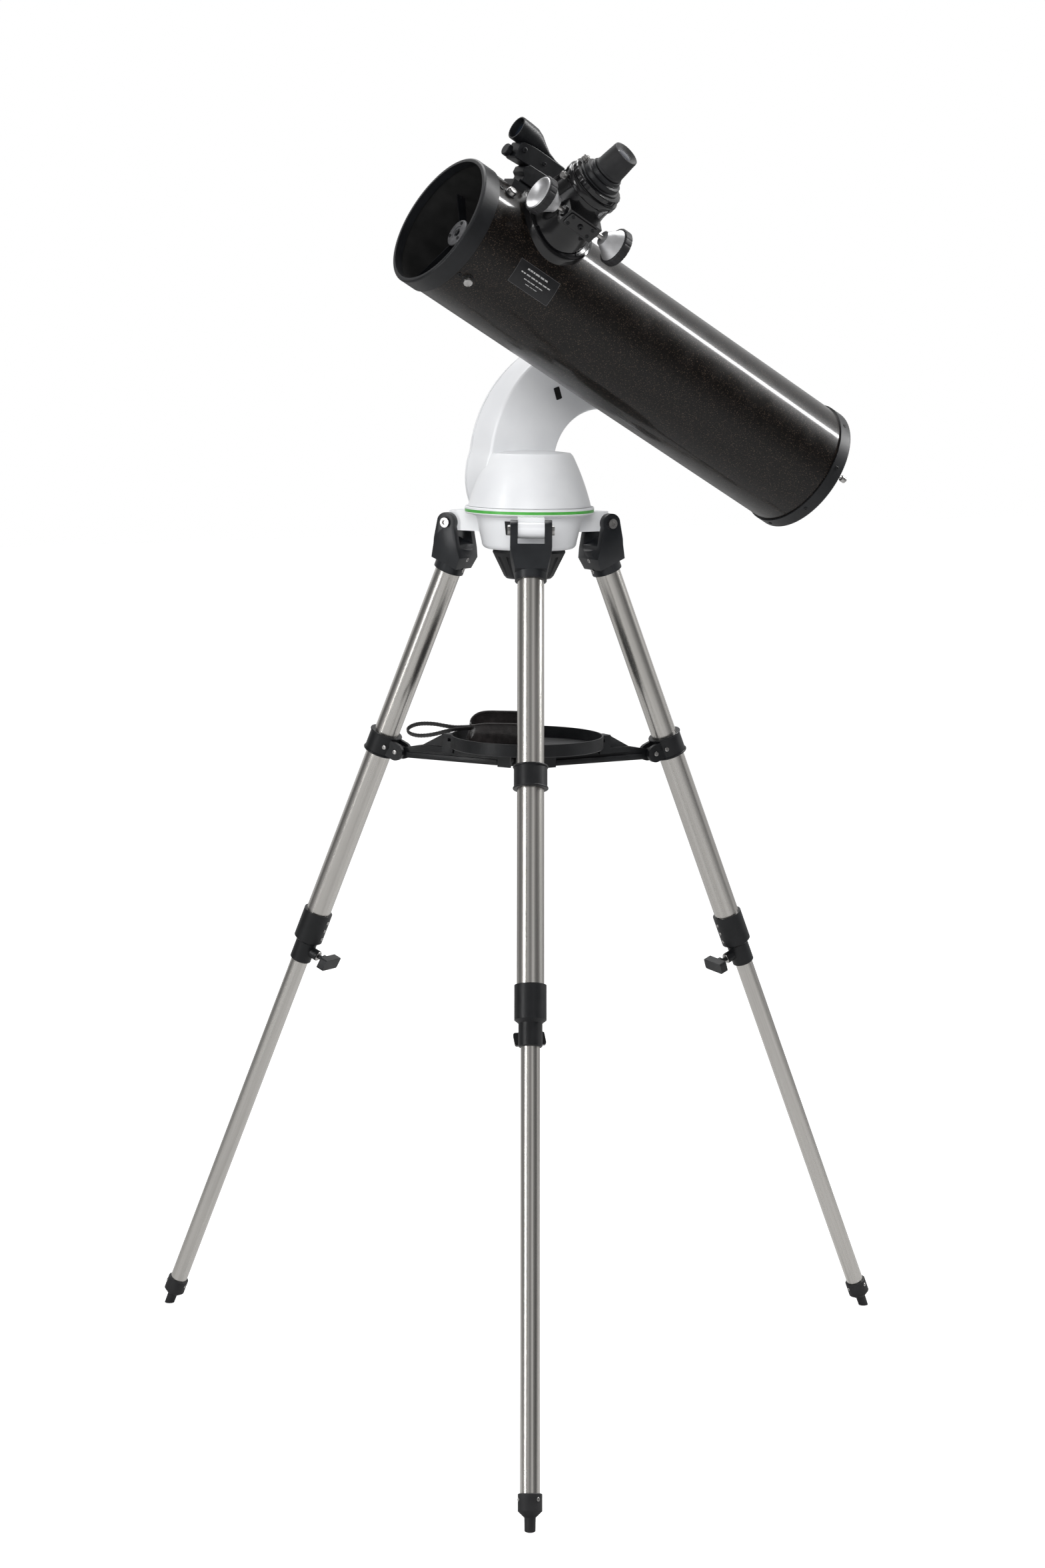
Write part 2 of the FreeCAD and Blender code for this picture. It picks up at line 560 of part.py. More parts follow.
def arm_shell(name, low, high, cavity_low, cavity_high, extra, bores):
    """One half of the arm: a thick outline, hollowed out and open at its foot."""
    skin = slab(f"{name}_skin", "XZ_Plane", low, high, arm_outline("0", "dome_low"))
    cavity = slab(f"{name}_cavity", "XZ_Plane", cavity_low, cavity_high,
                  arm_outline("arm_wall", "dome_low - 10"))
    body = fuse(f"{name}_body", skin, *extra) if extra else skin
    node(name, cut(f"{name}_cut", body, cavity, *bores))


def mount_arm(heel):
    """The two halves of the arm, which stand on the turntable and clear the azimuth gear."""
    middle = "lip_z - pivot_s*sin(tube_tilt*1deg)"
    bore = rod("arm_shaft_bore", "shaft_r + run_gap", "20", at("altitude_x", "-5", middle), Y_AXIS)
    clear = []
    for name, radius, low, high in (
            ("plate", "plate_r", "plate_low - 3", "plate_low + plate_h"),
            ("gear", "gear_r + 1.5", "plate_low", "gear_high + 1.5"),
            ("post", "post_r + sleeve_wall + 1", "plate_low", "post_top + 1.5")):
        clear.append(cylinder(f"arm_{name}_clearance", radius, f"{high} - ({low})",
                              Placement(at("0", "0", low), Rotation())))
    arm_shell("arm_front", "arm_front", "arm_seam", "arm_front + arm_wall", "arm_seam + 1", [],
              [bore, *clear])
    arm_shell("arm_back", "arm_seam", "arm_back", "arm_seam - 1", "arm_back - arm_wall", [heel],
              clear[:1])


def dome():
    """The cover in front of the arm, with a foot on the turntable; returns its part behind it."""
    shell = cut("dome_shell", turned("dome_outside", dome_outline("0")),
                turned("dome_inside", dome_outline("dome_wall")))
    heel = common("dome_heel", shell, slab("heel_space", "XZ_Plane", "arm_back", "dome_r + 10",
                                           arm_outline("1", "dome_low - 5")))
    foot = turned("dome_foot", [
        ("plate_r - 2.5", "plate_low + plate_h"), ("dome_r - 4", "plate_low + plate_h"),
        ("dome_r - 4", "plate_low + plate_h + 2.5"), ("plate_r - 2.5", "plate_low + plate_h + 2.5")])
    envelope = slab("dome_arm_gap", "XZ_Plane", "arm_front", "dome_r + 10",
                    arm_outline("-0.8", "dome_low - 5"))
    node("dome", cut("dome_cut", fuse("dome_body", shell, foot), envelope))
    return heel


def turntable():
    """The plate that carries the arm, with its sleeve round the azimuth post."""
    node("turntable", turned("turntable_plate", [
        ("post_r + run_gap", "plate_low"), ("plate_r", "plate_low"),
        ("plate_r", "plate_low + plate_h"), ("post_r + sleeve_wall", "plate_low + plate_h"),
        ("post_r + sleeve_wall", "sleeve_top"), ("post_r + run_gap", "sleeve_top")]))


def azimuth_motor():
    worm = rod("azimuth_worm", "5", "30", at("-15", "-gear_r - 5.6", "(gear_low + gear_high)/2"),
               X_AXIS)
    case = block("azimuth_case", ("15", "-gear_r - 11", "plate_low + plate_h"),
                 ("33", "-gear_r + 2", "plate_low + plate_h + 20"))
    can = rod("azimuth_can", "8.5", "24", at("15", "-gear_r - 4", "plate_low + plate_h + 26"),
              -X_AXIS)
    link = block("azimuth_link", ("10", "-gear_r - 10", "plate_low + plate_h + 17"),
                 ("18", "-gear_r + 2", "plate_low + plate_h + 32"))
    node("azimuth_motor", fuse("azimuth_motor_body", worm, case, can, link))


def altitude_motor():
    """The gearbox and motor inside the arm, beside the wheel on the altitude shaft."""
    middle = "lip_z - pivot_s*sin(tube_tilt*1deg)"
    turn = Placement(at("altitude_x", "0", middle), Rotation(Y_AXIS, -24))
    case = block("altitude_case", ("-72", "18", "-14"), ("-48", "46", "20"), turn)
    worm = rod("altitude_worm", "5", "38", turn.multVec(at("-wheel_r - 5.6", "30", "-19")),
               turn.Rotation.multVec(Z_AXIS))
    can = rod("altitude_can", "9", "20", turn.multVec(at("-62", "32", "18")),
              turn.Rotation.multVec(Z_AXIS))
    link = block("altitude_link", ("-50", "24", "-14"), ("-42", "36", "-10"), turn)
    node("altitude_motor", fuse("altitude_motor_body", case, worm, can, link))


# ---- altitude axis, in the tube frame --------------------------------------------------------

def altitude_shaft(place):
    start = at("saddle_back", "0", "pivot_s")
    shaft = rod("shaft_bar", "shaft_r", "arm_seam - lip_y - saddle_back - 4", start, X_AXIS)
    wheel = rod("shaft_wheel", "wheel_r", "10", at("arm_front - lip_y + 20", "0", "pivot_s"), X_AXIS)
    node("altitude_shaft", fuse("shaft_body", shaft, wheel), place)


def bar_section(grow):
    """The dovetail's trapezoid, wide at its outer face."""
    return [
        ("bar_low - 10", f"-bar_neck - ({grow})"), ("bar_low", f"-bar_neck - ({grow})"),
        (f"bar_high + {grow}", f"-bar_half - ({grow})"),
        (f"bar_high + {grow}", f"bar_half + {grow}"),
        ("bar_low", f"bar_neck + {grow}"), ("bar_low - 10", f"bar_neck + {grow}")]


def saddle(place):
    """The clamp block on the altitude shaft that grips the dovetail."""
    grip = slab("saddle_block", "XY_Plane", "pivot_s - saddle_half", "pivot_s + saddle_half", [
        ("bar_low + 1", "-saddle_wide"), ("saddle_back", "-saddle_wide"),
        ("saddle_back", "saddle_wide"), ("bar_low + 1", "saddle_wide")])
    groove = slab("saddle_groove", "XY_Plane", "pivot_s - saddle_half - 1",
                  "pivot_s + saddle_half + 1", bar_section("0.3"))
    disc = rod("saddle_disc", "disc_r", "arm_front - lip_y - face_gap - saddle_back + 8",
               at("saddle_back - 8", "0", "pivot_s"), X_AXIS)
    seat = rod("saddle_seat", "shaft_r", "30", at("saddle_back", "0", "pivot_s"), X_AXIS)
    hole = rod("saddle_screw_hole", "bolt_r + run_gap", "20",
               at("bar_low + 6", "-saddle_wide - 1", "pivot_s"), Y_AXIS)
    node("saddle", cut("saddle_cut", fuse("saddle_body", grip, disc), groove, seat, hole), place)


def saddle_knob(place):
    """The clamp screw under the saddle, with a lobed knob."""
    level = "bar_low + 6"
    screw = rod("saddle_screw", "bolt_r", "saddle_wide - bar_half + 6",
                at(level, "-bar_half - 1", "pivot_s"), -Y_AXIS)
    head = rod("saddle_knob_head", "13", "15", at(level, "-saddle_wide - 5", "pivot_s"), -Y_AXIS)
    lobes = []
    for i in range(6):
        turn = math.radians(60 * i)
        start = at(level, "-saddle_wide - 4", "pivot_s") + Vector(math.cos(turn), 0,
                                                                   math.sin(turn)) * 15
        lobes.append(rod(f"saddle_knob_lobe_{i}", "4.5", "17", start, -Y_AXIS))
    node("saddle_knob", fuse("saddle_knob_body", screw, cut("saddle_knob_lobed", head, *lobes)),
         place)


# ---- optical tube, in the tube frame ---------------------------------------------------------

def bar_on_tube(place):
    bar = slab("bar_blank", "XY_Plane", "pivot_s - bar_length/2", "pivot_s + bar_length/2",
               bar_section("0"))
    seat = cylinder("bar_seat", "tube_r", "tube_length")
    node("dovetail", cut("bar_seated", bar, seat), place)


def tube_shell(place):
    """The steel tube, with the focuser's opening and four small holes for the spider's studs."""
    wall = turned("tube_wall_ring", [
        ("tube_r - tube_wall", "10"), ("tube_r", "10"), ("tube_r", "tube_length - 6"),
        ("tube_r - tube_wall", "tube_length - 6")])
    light = radial_frame(SIZES["focus_s"], SIZES["focus_angle"])
    holes = [cylinder("tube_light_hole", "draw_r + 3", "100", light)]
    for angle in (45, 135, 225, 315):
        holes.append(cylinder(f"tube_stud_hole_{angle}", "2.2", "100",
                              radial_frame(SIZES["vane_s"], angle)))
    node("tube", cut("tube_pierced", wall, *holes), place)


def front_ring(place):
    node("front_ring", turned("front_ring_turned", [
        ("lip_r", "0"), ("tube_r", "0"), ("via", "end_ring_r - 0.6", "0.8"),
        ("end_ring_r", "3"), ("end_ring_r", "front_ring_h"), ("tube_r", "front_ring_h"),
        ("tube_r", "10"), ("lip_r", "10")]), place)


def rear_ring(place):
    """The end cap ring, with a back wall that the collimation screws pass through."""
    back = "tube_length - 4"
    ring = turned("rear_ring_turned", [
        ("tube_r", "rear_ring_start"), ("end_ring_r", "rear_ring_start"),
        ("end_ring_r", "tube_length - 3"), ("via", "end_ring_r - 0.8", "tube_length - 0.8"),
        ("end_ring_r - 3", "tube_length"), ("22", "tube_length"), ("22", back),
        ("tube_r - 4", back), ("tube_r - 4", "tube_length - 6"), ("tube_r", "tube_length - 6")])
    holes = [cylinder(f"rear_screw_hole_{i}", "bolt_r + run_gap", "20",
                      Placement(knob_point(i, "tube_length - 10"), Rotation()))
             for i in LEG_ANGLES]
    node("rear_ring", cut("rear_ring_cut", ring, *holes), place)


def knob_point(index, station):
    """The foot of one collimation screw, three of them round the tube's axis."""
    turn = math.radians(90 + LEG_ANGLES[index])
    ring = SIZES["knob_ring_r"]
    return Vector(ring * math.cos(turn), ring * math.sin(turn), number(station))


def collimation_knob(index, place):
    screw = cylinder(f"collimation_screw_{index}", "bolt_r", "26",
                     Placement(knob_point(index, "mirror_back + 8.3"), Rotation()))
    head = cylinder(f"collimation_head_{index}", "collimator_r", "13",
                    Placement(knob_point(index, "tube_length + 0.6"), Rotation()))
    node(f"collimation_knob_{index}", fuse(f"collimation_body_{index}", screw, head), place)


def mirror_cell(place):
    node("mirror_cell", turned("cell_cup", [
        ("0", "mirror_back"), ("mirror_r + 0.2", "mirror_back"),
        ("mirror_r + 0.2", "mirror_back - 12"), ("mirror_r + 5", "mirror_back - 12"),
        ("mirror_r + 5", "mirror_back + 8"), ("0", "mirror_back + 8")]), place)


def primary_mirror(place):
    """A glass disc whose front is a shallow concave curve of twice the focal length in radius."""
    sag = "mirror_r*mirror_r/(4*focal_length)"
    node("primary_mirror", turned("mirror_disc", [
        ("0", f"mirror_front + {sag}"), ("4", f"mirror_front + {sag}"),
        ("via", "mirror_r/2", f"mirror_front + {sag}*3/4"),
        ("mirror_r", "mirror_front"), ("mirror_r", "mirror_back"), ("0", "mirror_back")]), place)


def spider(place):
    """Four thin vanes from the middle boss to the wall, each with its stud and round nut."""
    parts = [cylinder("spider_boss", "spider_r", "20", Placement(at("0", "0", "30"), Rotation()))]
    for angle in (45, 135, 225, 315):
        frame = radial_frame(SIZES["vane_s"], angle)
        parts.append(block(f"vane_{angle}", ("-vane_deep/2", "-vane_t/2", "spider_r - 1"),
                           ("vane_deep/2", "vane_t/2", "tube_r - tube_wall - 0.2"), frame))
        start = frame.multVec(at("0", "0", "tube_r - tube_wall - 6"))
        out = frame.Rotation.multVec(Z_AXIS)
        parts.append(rod(f"vane_stud_{angle}", "2", "tube_wall + 9", start, out))
        parts.append(rod(f"vane_nut_{angle}", "nut_r", "6",
                         frame.multVec(at("0", "0", "tube_r + 0.3")), out))
    node("spider", fuse("spider_body", *parts), place)


def mirror_slope():
    """On the axis at the focuser's station, with +Z between the mirror end and the focuser."""
    turn = math.radians(SIZES["focus_angle"])
    out = Vector(math.cos(turn), math.sin(turn), 0)
    return Placement(at("0", "0", "focus_s"), Rotation(Z_AXIS, out + Z_AXIS))


def secondary_holder(place):
    stem = cylinder("holder_stem", "8", "14", Placement(at("0", "0", "50"), Rotation()))
    drum = cylinder("holder_drum", "second_r + 0.8", "80", Placement(at("0", "0", "62"), Rotation()))
    away = block("holder_slope", ("-60", "-60", "-second_t"), ("60", "60", "90"), mirror_slope())
    node("secondary_holder", fuse("holder_body", stem, cut("holder_cut", drum, away)), place)


def secondary_mirror(place):
    drum = cylinder("second_drum", "second_r", "120", Placement(at("0", "0", "50"), Rotation()))
    slice_ = block("second_slice", ("-60", "-60", "-second_t"), ("60", "60", "0"), mirror_slope())
    node("secondary_mirror", common("second_disc", drum, slice_), place)


# ---- focuser and finder ----------------------------------------------------------------------

def focuser_body(place):
    """A flange bent to the tube, a tapered housing and the block that carries the pinion shaft."""
    flat = Rotation(Z_AXIS, X_AXIS)
    along = Placement(at("-80"), flat)
    pad = cylinder("flange_disc", "flange_r", "100")
    bend = cylinder("flange_bend", "tube_r + flange_t", "160", along)
    flange = common("flange_plate", pad, bend)
    taper = turned("focuser_housing", [
        ("0", "40"), ("house_low_r", "40"), ("house_low_r", "tube_r"), ("38", "104"),
        ("house_high_r", "128"), ("house_high_r", "house_top - 1"),
        ("house_high_r - 1", "house_top"), ("0", "house_top")])
    yoke = block("pinion_block", ("-24", "focus_y - 9", "focus_z - 11"),
                 ("24", "-20", "focus_z + 11"))
    seat = cylinder("focuser_seat", "tube_r", "160", along)
    bore = cylinder("focuser_bore", "draw_r + 2*run_gap", "200")
    shaft = rod("pinion_bore", "spindle_r + run_gap", "80", at("-40", "focus_y", "focus_z"), X_AXIS)
    node("focuser_body", cut("focuser_cut", fuse("focuser_blank", flange, taper, yoke),
                             seat, bore, shaft), place)


def drawtube(place):
    """The sliding tube with its ring and the stepped reducer that takes the eyepiece."""
    node("drawtube", turned("drawtube_turned", [
        ("draw_bore", "draw_low"), ("draw_r", "draw_low"), ("draw_r", "house_top + face_gap"),
        ("draw_ring_r", "house_top + face_gap"), ("draw_ring_r", "house_top + 6"),
        ("draw_ring_r - 1.5", "house_top + 7.5"), ("24.5", "house_top + 7.5"),
        ("24.5", "house_top + 16"), ("21", "house_top + 17"), ("20.5", "draw_top"),
        ("socket_r", "draw_top"), ("socket_r", "house_top + 4"),
        ("draw_bore", "house_top + 4")]), place)


def focus_knobs(place):
    """One spindle across the focuser with a flared knob on each end."""
    start = at("-grip_end + 2", "focus_y", "focus_z")
    parts = [rod("spindle", "spindle_r", "2*grip_end - 4", start, X_AXIS)]
    for name, sign in (("front", -1), ("rear", 1)):
        knob = turned(f"knob_{name}", [
            ("0", "cone_start"), ("cone_r", "cone_start"), ("grip_r - 3", "grip_start - 1"),
            ("grip_r", "grip_start"), ("grip_r", "grip_end - 1"), ("grip_r - 1", "grip_end"),
            ("grip_r - 3.5", "grip_end"), ("via", "grip_r/2", "grip_end - 5"),
            ("2", "grip_end - 6.5"), ("0", "grip_end - 6.5")])
        knob.Placement = Placement(at("0", "focus_y", "focus_z"), Rotation(Z_AXIS, X_AXIS * sign))
        parts.append(knob)
    node("focus_knobs", fuse("focus_knobs_body", *parts), place)


def eyepiece(place):
    node("eyepiece", turned("eyepiece_turned", [
        ("0", "house_top + 8"), ("eye_barrel_r", "house_top + 8"),
        ("eye_barrel_r", "draw_top + 0.3"), ("eye_r", "draw_top + 0.3"), ("eye_r", "draw_top + 10"),
        ("eye_top_r", "eye_top - 4"), ("eye_top_r", "eye_top"), ("eye_top_r - 2.5", "eye_top"),
        ("eye_lens_r", "eye_top - 4"), ("0", "eye_top - 5")]), place)


def finder_shoe(place):
    """The foot screwed to the tube that the finder's bracket slides on."""
    foot_block = block("shoe_block", ("-22", "-12", "76"), ("0", "12", "89"))
    rail = block("shoe_rail", ("-14", "-8", "88"), ("14", "8", "94"))
    seat = cylinder("shoe_seat", "tube_r", "80", Placement(at("-40"), Rotation(Z_AXIS, X_AXIS)))
    node("finder_shoe", cut("shoe_cut", fuse("shoe_body", foot_block, rail), seat), place)


def finder(place):
    """A red-dot finder: bracket, box body and the round hood of its window."""
    bracket = slab("finder_bracket", "XZ_Plane", "-12", "12", [
        ("-13", "89.3"), ("13", "89.3"), ("13", "100"), ("18", "104"), ("18", "112"),
        ("-14", "112"), ("-14", "104"), ("-13", "100")])
    body = slab("finder_box", "XZ_Plane", "-8.5", "8.5", [
        ("-28", "107"), ("31", "117"), ("31", "137"), ("2", "139"), ("-18", "154"),
        ("-28", "150")])
    hood = rod("finder_hood", "hood_r", "20", at("-44", "0", "hood_z"), X_AXIS)
    bulk = fuse("finder_bulk", bracket, body, hood)
    window = rod("finder_window", "hood_r - 1.8", "14", at("-45", "0", "hood_z"), X_AXIS)
    rail = block("finder_groove", ("-20", "-8.3", "80"), ("20", "8.3", "94.3"))
    knob = rod("finder_knob", "7", "9", at("-37.5", "0", "113"), X_AXIS)
    stem = rod("finder_knob_stem", "3", "4", at("-29.5", "0", "113"), X_AXIS)
    node("finder", fuse("finder_body", cut("finder_cut", bulk, window, rail), knob, stem), place)


def build():
    base_bowl()
    stripe_ring()
    azimuth_post()
    hinge_pins()
    mount_knob()
    for leg, angle in LEG_ANGLES.items():
        place = leg_frame(angle)
        fork(leg, place)
        pipe(f"upper_tube_{leg}", "upper_r", "upper_wall", "upper_start", "upper_end", place)
        pipe(f"lower_tube_{leg}", "lower_r", "lower_wall", "lower_start", "lower_end", place)
        collar(leg, place)
        lock_knob(leg, place)
        foot(leg, place)
        spreader_band(leg, place)
        spreader_arm(leg, angle)
    spreader_hub()
    tray()
    battery_pouch()
    pouch_strap()
    mount_arm(dome())
    turntable()
    azimuth_motor()
    altitude_motor()
    tube = tube_frame()
    for make in (altitude_shaft, saddle, saddle_knob, bar_on_tube, tube_shell, front_ring,
                 rear_ring, mirror_cell, primary_mirror, spider, secondary_holder,
                 secondary_mirror):
        make(tube)
    for index in LEG_ANGLES:
        collimation_knob(index, tube)
    focus = tube * radial_frame(SIZES["focus_s"], SIZES["focus_angle"])
    for make in (focuser_body, drawtube, focus_knobs, eyepiece):
        make(focus)
    sight = tube * radial_frame(SIZES["finder_s"], SIZES["finder_angle"])
    finder_shoe(sight)
    finder(sight)


def failures():
    return [o for o in doc.Objects if {"Invalid", "Error"} & set(o.State)]


def check():
    """Stop before anything is written if an object failed or a sub-part isn't a valid solid."""
    failed = [o.Name for o in failures()]
    if failed:
        raise RuntimeError(f"objects that failed: {failed}")
    for name, piece in nodes.items():
        shape = piece.Shape
        if shape.isNull() or not shape.isValid() or not shape.Solids:
            raise RuntimeError(f"{name} has no valid shape")


def export():
    os.makedirs("parts", exist_ok=True)
    for name, piece in nodes.items():
        piece.Shape.exportStep(f"parts/{name}.step")
        print(f"{name}: {len(piece.Shape.Solids)} solid, {piece.Shape.Volume / 1000:.2f} cm3")


build()
doc.removeObject(gauge.Name)
doc.recompute()
check()
export()
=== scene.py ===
import math
import random

import bmesh
import bpy
from mathutils import Matrix, Vector


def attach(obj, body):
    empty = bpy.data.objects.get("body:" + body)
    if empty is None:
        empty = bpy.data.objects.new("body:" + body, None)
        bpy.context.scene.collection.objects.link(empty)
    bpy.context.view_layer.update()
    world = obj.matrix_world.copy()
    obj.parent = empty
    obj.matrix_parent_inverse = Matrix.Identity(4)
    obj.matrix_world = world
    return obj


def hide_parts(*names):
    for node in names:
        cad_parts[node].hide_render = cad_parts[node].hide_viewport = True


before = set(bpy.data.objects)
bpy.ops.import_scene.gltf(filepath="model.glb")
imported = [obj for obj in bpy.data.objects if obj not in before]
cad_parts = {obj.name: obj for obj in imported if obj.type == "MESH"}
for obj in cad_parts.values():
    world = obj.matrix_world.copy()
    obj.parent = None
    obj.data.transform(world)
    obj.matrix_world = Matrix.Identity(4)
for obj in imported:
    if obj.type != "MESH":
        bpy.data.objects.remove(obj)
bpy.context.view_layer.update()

MM = 0.001
Y, Z = Vector((0, 1, 0)), Vector((0, 0, 1))
LEGS = {1: 0, 2: 120, 3: -120}


# ---- camera ----------------------------------------------------------------------------------

def add_camera():
    """The photograph's camera, solved from the feet, the hinge pins and the tube's ends."""
    yaw, pitch, roll = math.radians(31.17), math.radians(-8.338), math.radians(0.56)
    ahead = Vector((math.sin(yaw) * math.cos(pitch), math.cos(yaw) * math.cos(pitch),
                    math.sin(pitch)))
    level = ahead.cross(Z).normalized()
    over = level.cross(ahead)
    right = level * math.cos(roll) + over * math.sin(roll)
    over = over * math.cos(roll) - level * math.sin(roll)
    data = bpy.data.cameras.new("camera")
    data.sensor_width = 36
    data.lens = 72.61
    camera = bpy.data.objects.new("camera", data)
    camera.matrix_world = Matrix.Translation((-2.0407, -3.3634, 1.3403)) @ Matrix(
        (right, over, -ahead)).transposed().to_4x4()
    bpy.context.scene.collection.objects.link(camera)
    bpy.context.scene.camera = camera


add_camera()


# ---- frames ----------------------------------------------------------------------------------

def frame_of(x_axis, z_axis, origin):
    """A placement in metres from two axes and an origin in millimetres."""
    y_axis = z_axis.cross(x_axis)
    turn = Matrix((x_axis, y_axis, z_axis)).transposed().to_4x4()
    return Matrix.Translation(Vector(origin) * MM) @ turn


TILT = math.radians(29.192)
REAR = Vector((math.cos(TILT), 0, -math.sin(TILT)))
UP = Vector((math.sin(TILT), 0, math.cos(TILT)))
LIP = Vector((-209.75, -135.98, 1454.63))
TUBE = frame_of(Y, REAR, LIP)
TUBE_RADIUS = 80
# The arm: its altitude axis, the radius of its round end, and the level of its foot.
PIVOT_X, PIVOT_Z = 108.0, 1277.1
HUB_RADIUS = 46
ARM_FOOT = 1113.1
# The steel tubes' axis in a leg's frame.
LEG_AXIS = -14.9


def out_of_tube(phi):
    turn = math.radians(phi)
    return Y * math.cos(turn) + UP * math.sin(turn)


def on_tube(station, phi, reach=0.0):
    """+Z out of the tube, +X towards the mirror, starting at a reach from the axis."""
    out = out_of_tube(phi)
    return frame_of(REAR, out, LIP + REAR * station + out * reach)


def leg_frame(angle):
    """+Z up a leg and +X outwards from its hinge; the steel tubes stand at X = LEG_AXIS."""
    lean = math.radians(23.017)
    out = Vector((math.cos(math.radians(angle)), math.sin(math.radians(angle)), 0))
    along = Z * math.cos(lean) - out * math.sin(lean)
    outward = out * math.cos(lean) + Z * math.sin(lean)
    return frame_of(outward, along, out * 105.9 + Z * 1089.4)


def turned_frame(angle):
    """+X level outwards from the tripod's middle at an angle."""
    out = Vector((math.cos(math.radians(angle)), math.sin(math.radians(angle)), 0))
    return frame_of(out, Z, (0, 0, 0))


def shift(x=0.0, y=0.0, z=0.0):
    return Matrix.Translation(Vector((x, y, z)) * MM)


# ---- materials -------------------------------------------------------------------------------

def material(name, light, dark, roughness, scale=40.0, spread=0.06, bump=0.0, grain=600.0,
             metallic=0.0, coat=0.0, stretch=(1, 1, 1), fleck=None, specular=0.5,
             coat_roughness=0.08, sheen=0.0, along=None):
    """Two mottled tones, an uneven roughness and a fine grain, all from noise in object space."""
    mat = bpy.data.materials.new(name)
    mat.use_nodes = True
    tree = mat.node_tree
    nodes, links = tree.nodes, tree.links
    shader = nodes["Principled BSDF"]
    place = nodes.new("ShaderNodeTexCoord")
    mapping = nodes.new("ShaderNodeMapping")
    mapping.vector_type = "TEXTURE"
    mapping.inputs["Scale"].default_value = [1 / side for side in stretch]
    if along:
        mapping.inputs["Rotation"].default_value = along
    links.new(place.outputs["Object"], mapping.inputs["Vector"])
    mottle = nodes.new("ShaderNodeTexNoise")
    mottle.inputs["Scale"].default_value = scale
    mottle.inputs["Detail"].default_value = 6
    links.new(mapping.outputs["Vector"], mottle.inputs["Vector"])
    ramp = nodes.new("ShaderNodeValToRGB")
    ramp.color_ramp.elements[0].position = 0.35
    ramp.color_ramp.elements[1].position = 0.68
    ramp.color_ramp.elements[0].color = (*dark, 1)
    ramp.color_ramp.elements[1].color = (*light, 1)
    links.new(mottle.outputs["Fac"], ramp.inputs["Fac"])
    colour = ramp.outputs["Color"]
    if fleck:
        spots = nodes.new("ShaderNodeTexVoronoi")
        spots.inputs["Scale"].default_value = fleck[1]
        links.new(place.outputs["Object"], spots.inputs["Vector"])
        pick = nodes.new("ShaderNodeSeparateColor")
        links.new(spots.outputs["Color"], pick.inputs["Color"])
        bright = nodes.new("ShaderNodeMapRange")
        bright.inputs["From Min"].default_value = fleck[2]
        bright.inputs["From Max"].default_value = 1.0
        links.new(pick.outputs["Red"], bright.inputs["Value"])
        mix = nodes.new("ShaderNodeMix")
        mix.data_type = "RGBA"
        links.new(bright.outputs["Result"], mix.inputs["Factor"])
        links.new(colour, mix.inputs[6])
        mix.inputs[7].default_value = (*fleck[0], 1)
        colour = mix.outputs[2]
    links.new(colour, shader.inputs["Base Color"])
    wear = nodes.new("ShaderNodeTexNoise")
    wear.inputs["Scale"].default_value = scale * 0.5
    wear.inputs["Detail"].default_value = 4
    links.new(mapping.outputs["Vector"], wear.inputs["Vector"])
    level = nodes.new("ShaderNodeMapRange")
    level.inputs["From Min"].default_value = 0.3
    level.inputs["From Max"].default_value = 0.7
    level.inputs["To Min"].default_value = max(roughness - spread, 0.02)
    level.inputs["To Max"].default_value = roughness + spread
    links.new(wear.outputs["Fac"], level.inputs["Value"])
    links.new(level.outputs["Result"], shader.inputs["Roughness"])
    if bump:
        fine = nodes.new("ShaderNodeTexNoise")
        fine.inputs["Scale"].default_value = grain
        fine.inputs["Detail"].default_value = 3
        links.new(mapping.outputs["Vector"], fine.inputs["Vector"])
        relief = nodes.new("ShaderNodeBump")
        relief.inputs["Strength"].default_value = bump
        relief.inputs["Distance"].default_value = 0.0004
        links.new(fine.outputs["Fac"], relief.inputs["Height"])
        links.new(relief.outputs["Normal"], shader.inputs["Normal"])
    shader.inputs["Metallic"].default_value = metallic
    shader.inputs["Coat Weight"].default_value = coat
    shader.inputs["Coat Roughness"].default_value = coat_roughness
    shader.inputs["Specular IOR Level"].default_value = specular
    shader.inputs["Sheen Weight"].default_value = sheen
    shader.inputs["Emission Color"].default_value = (1, 1, 1, 1)
    return mat


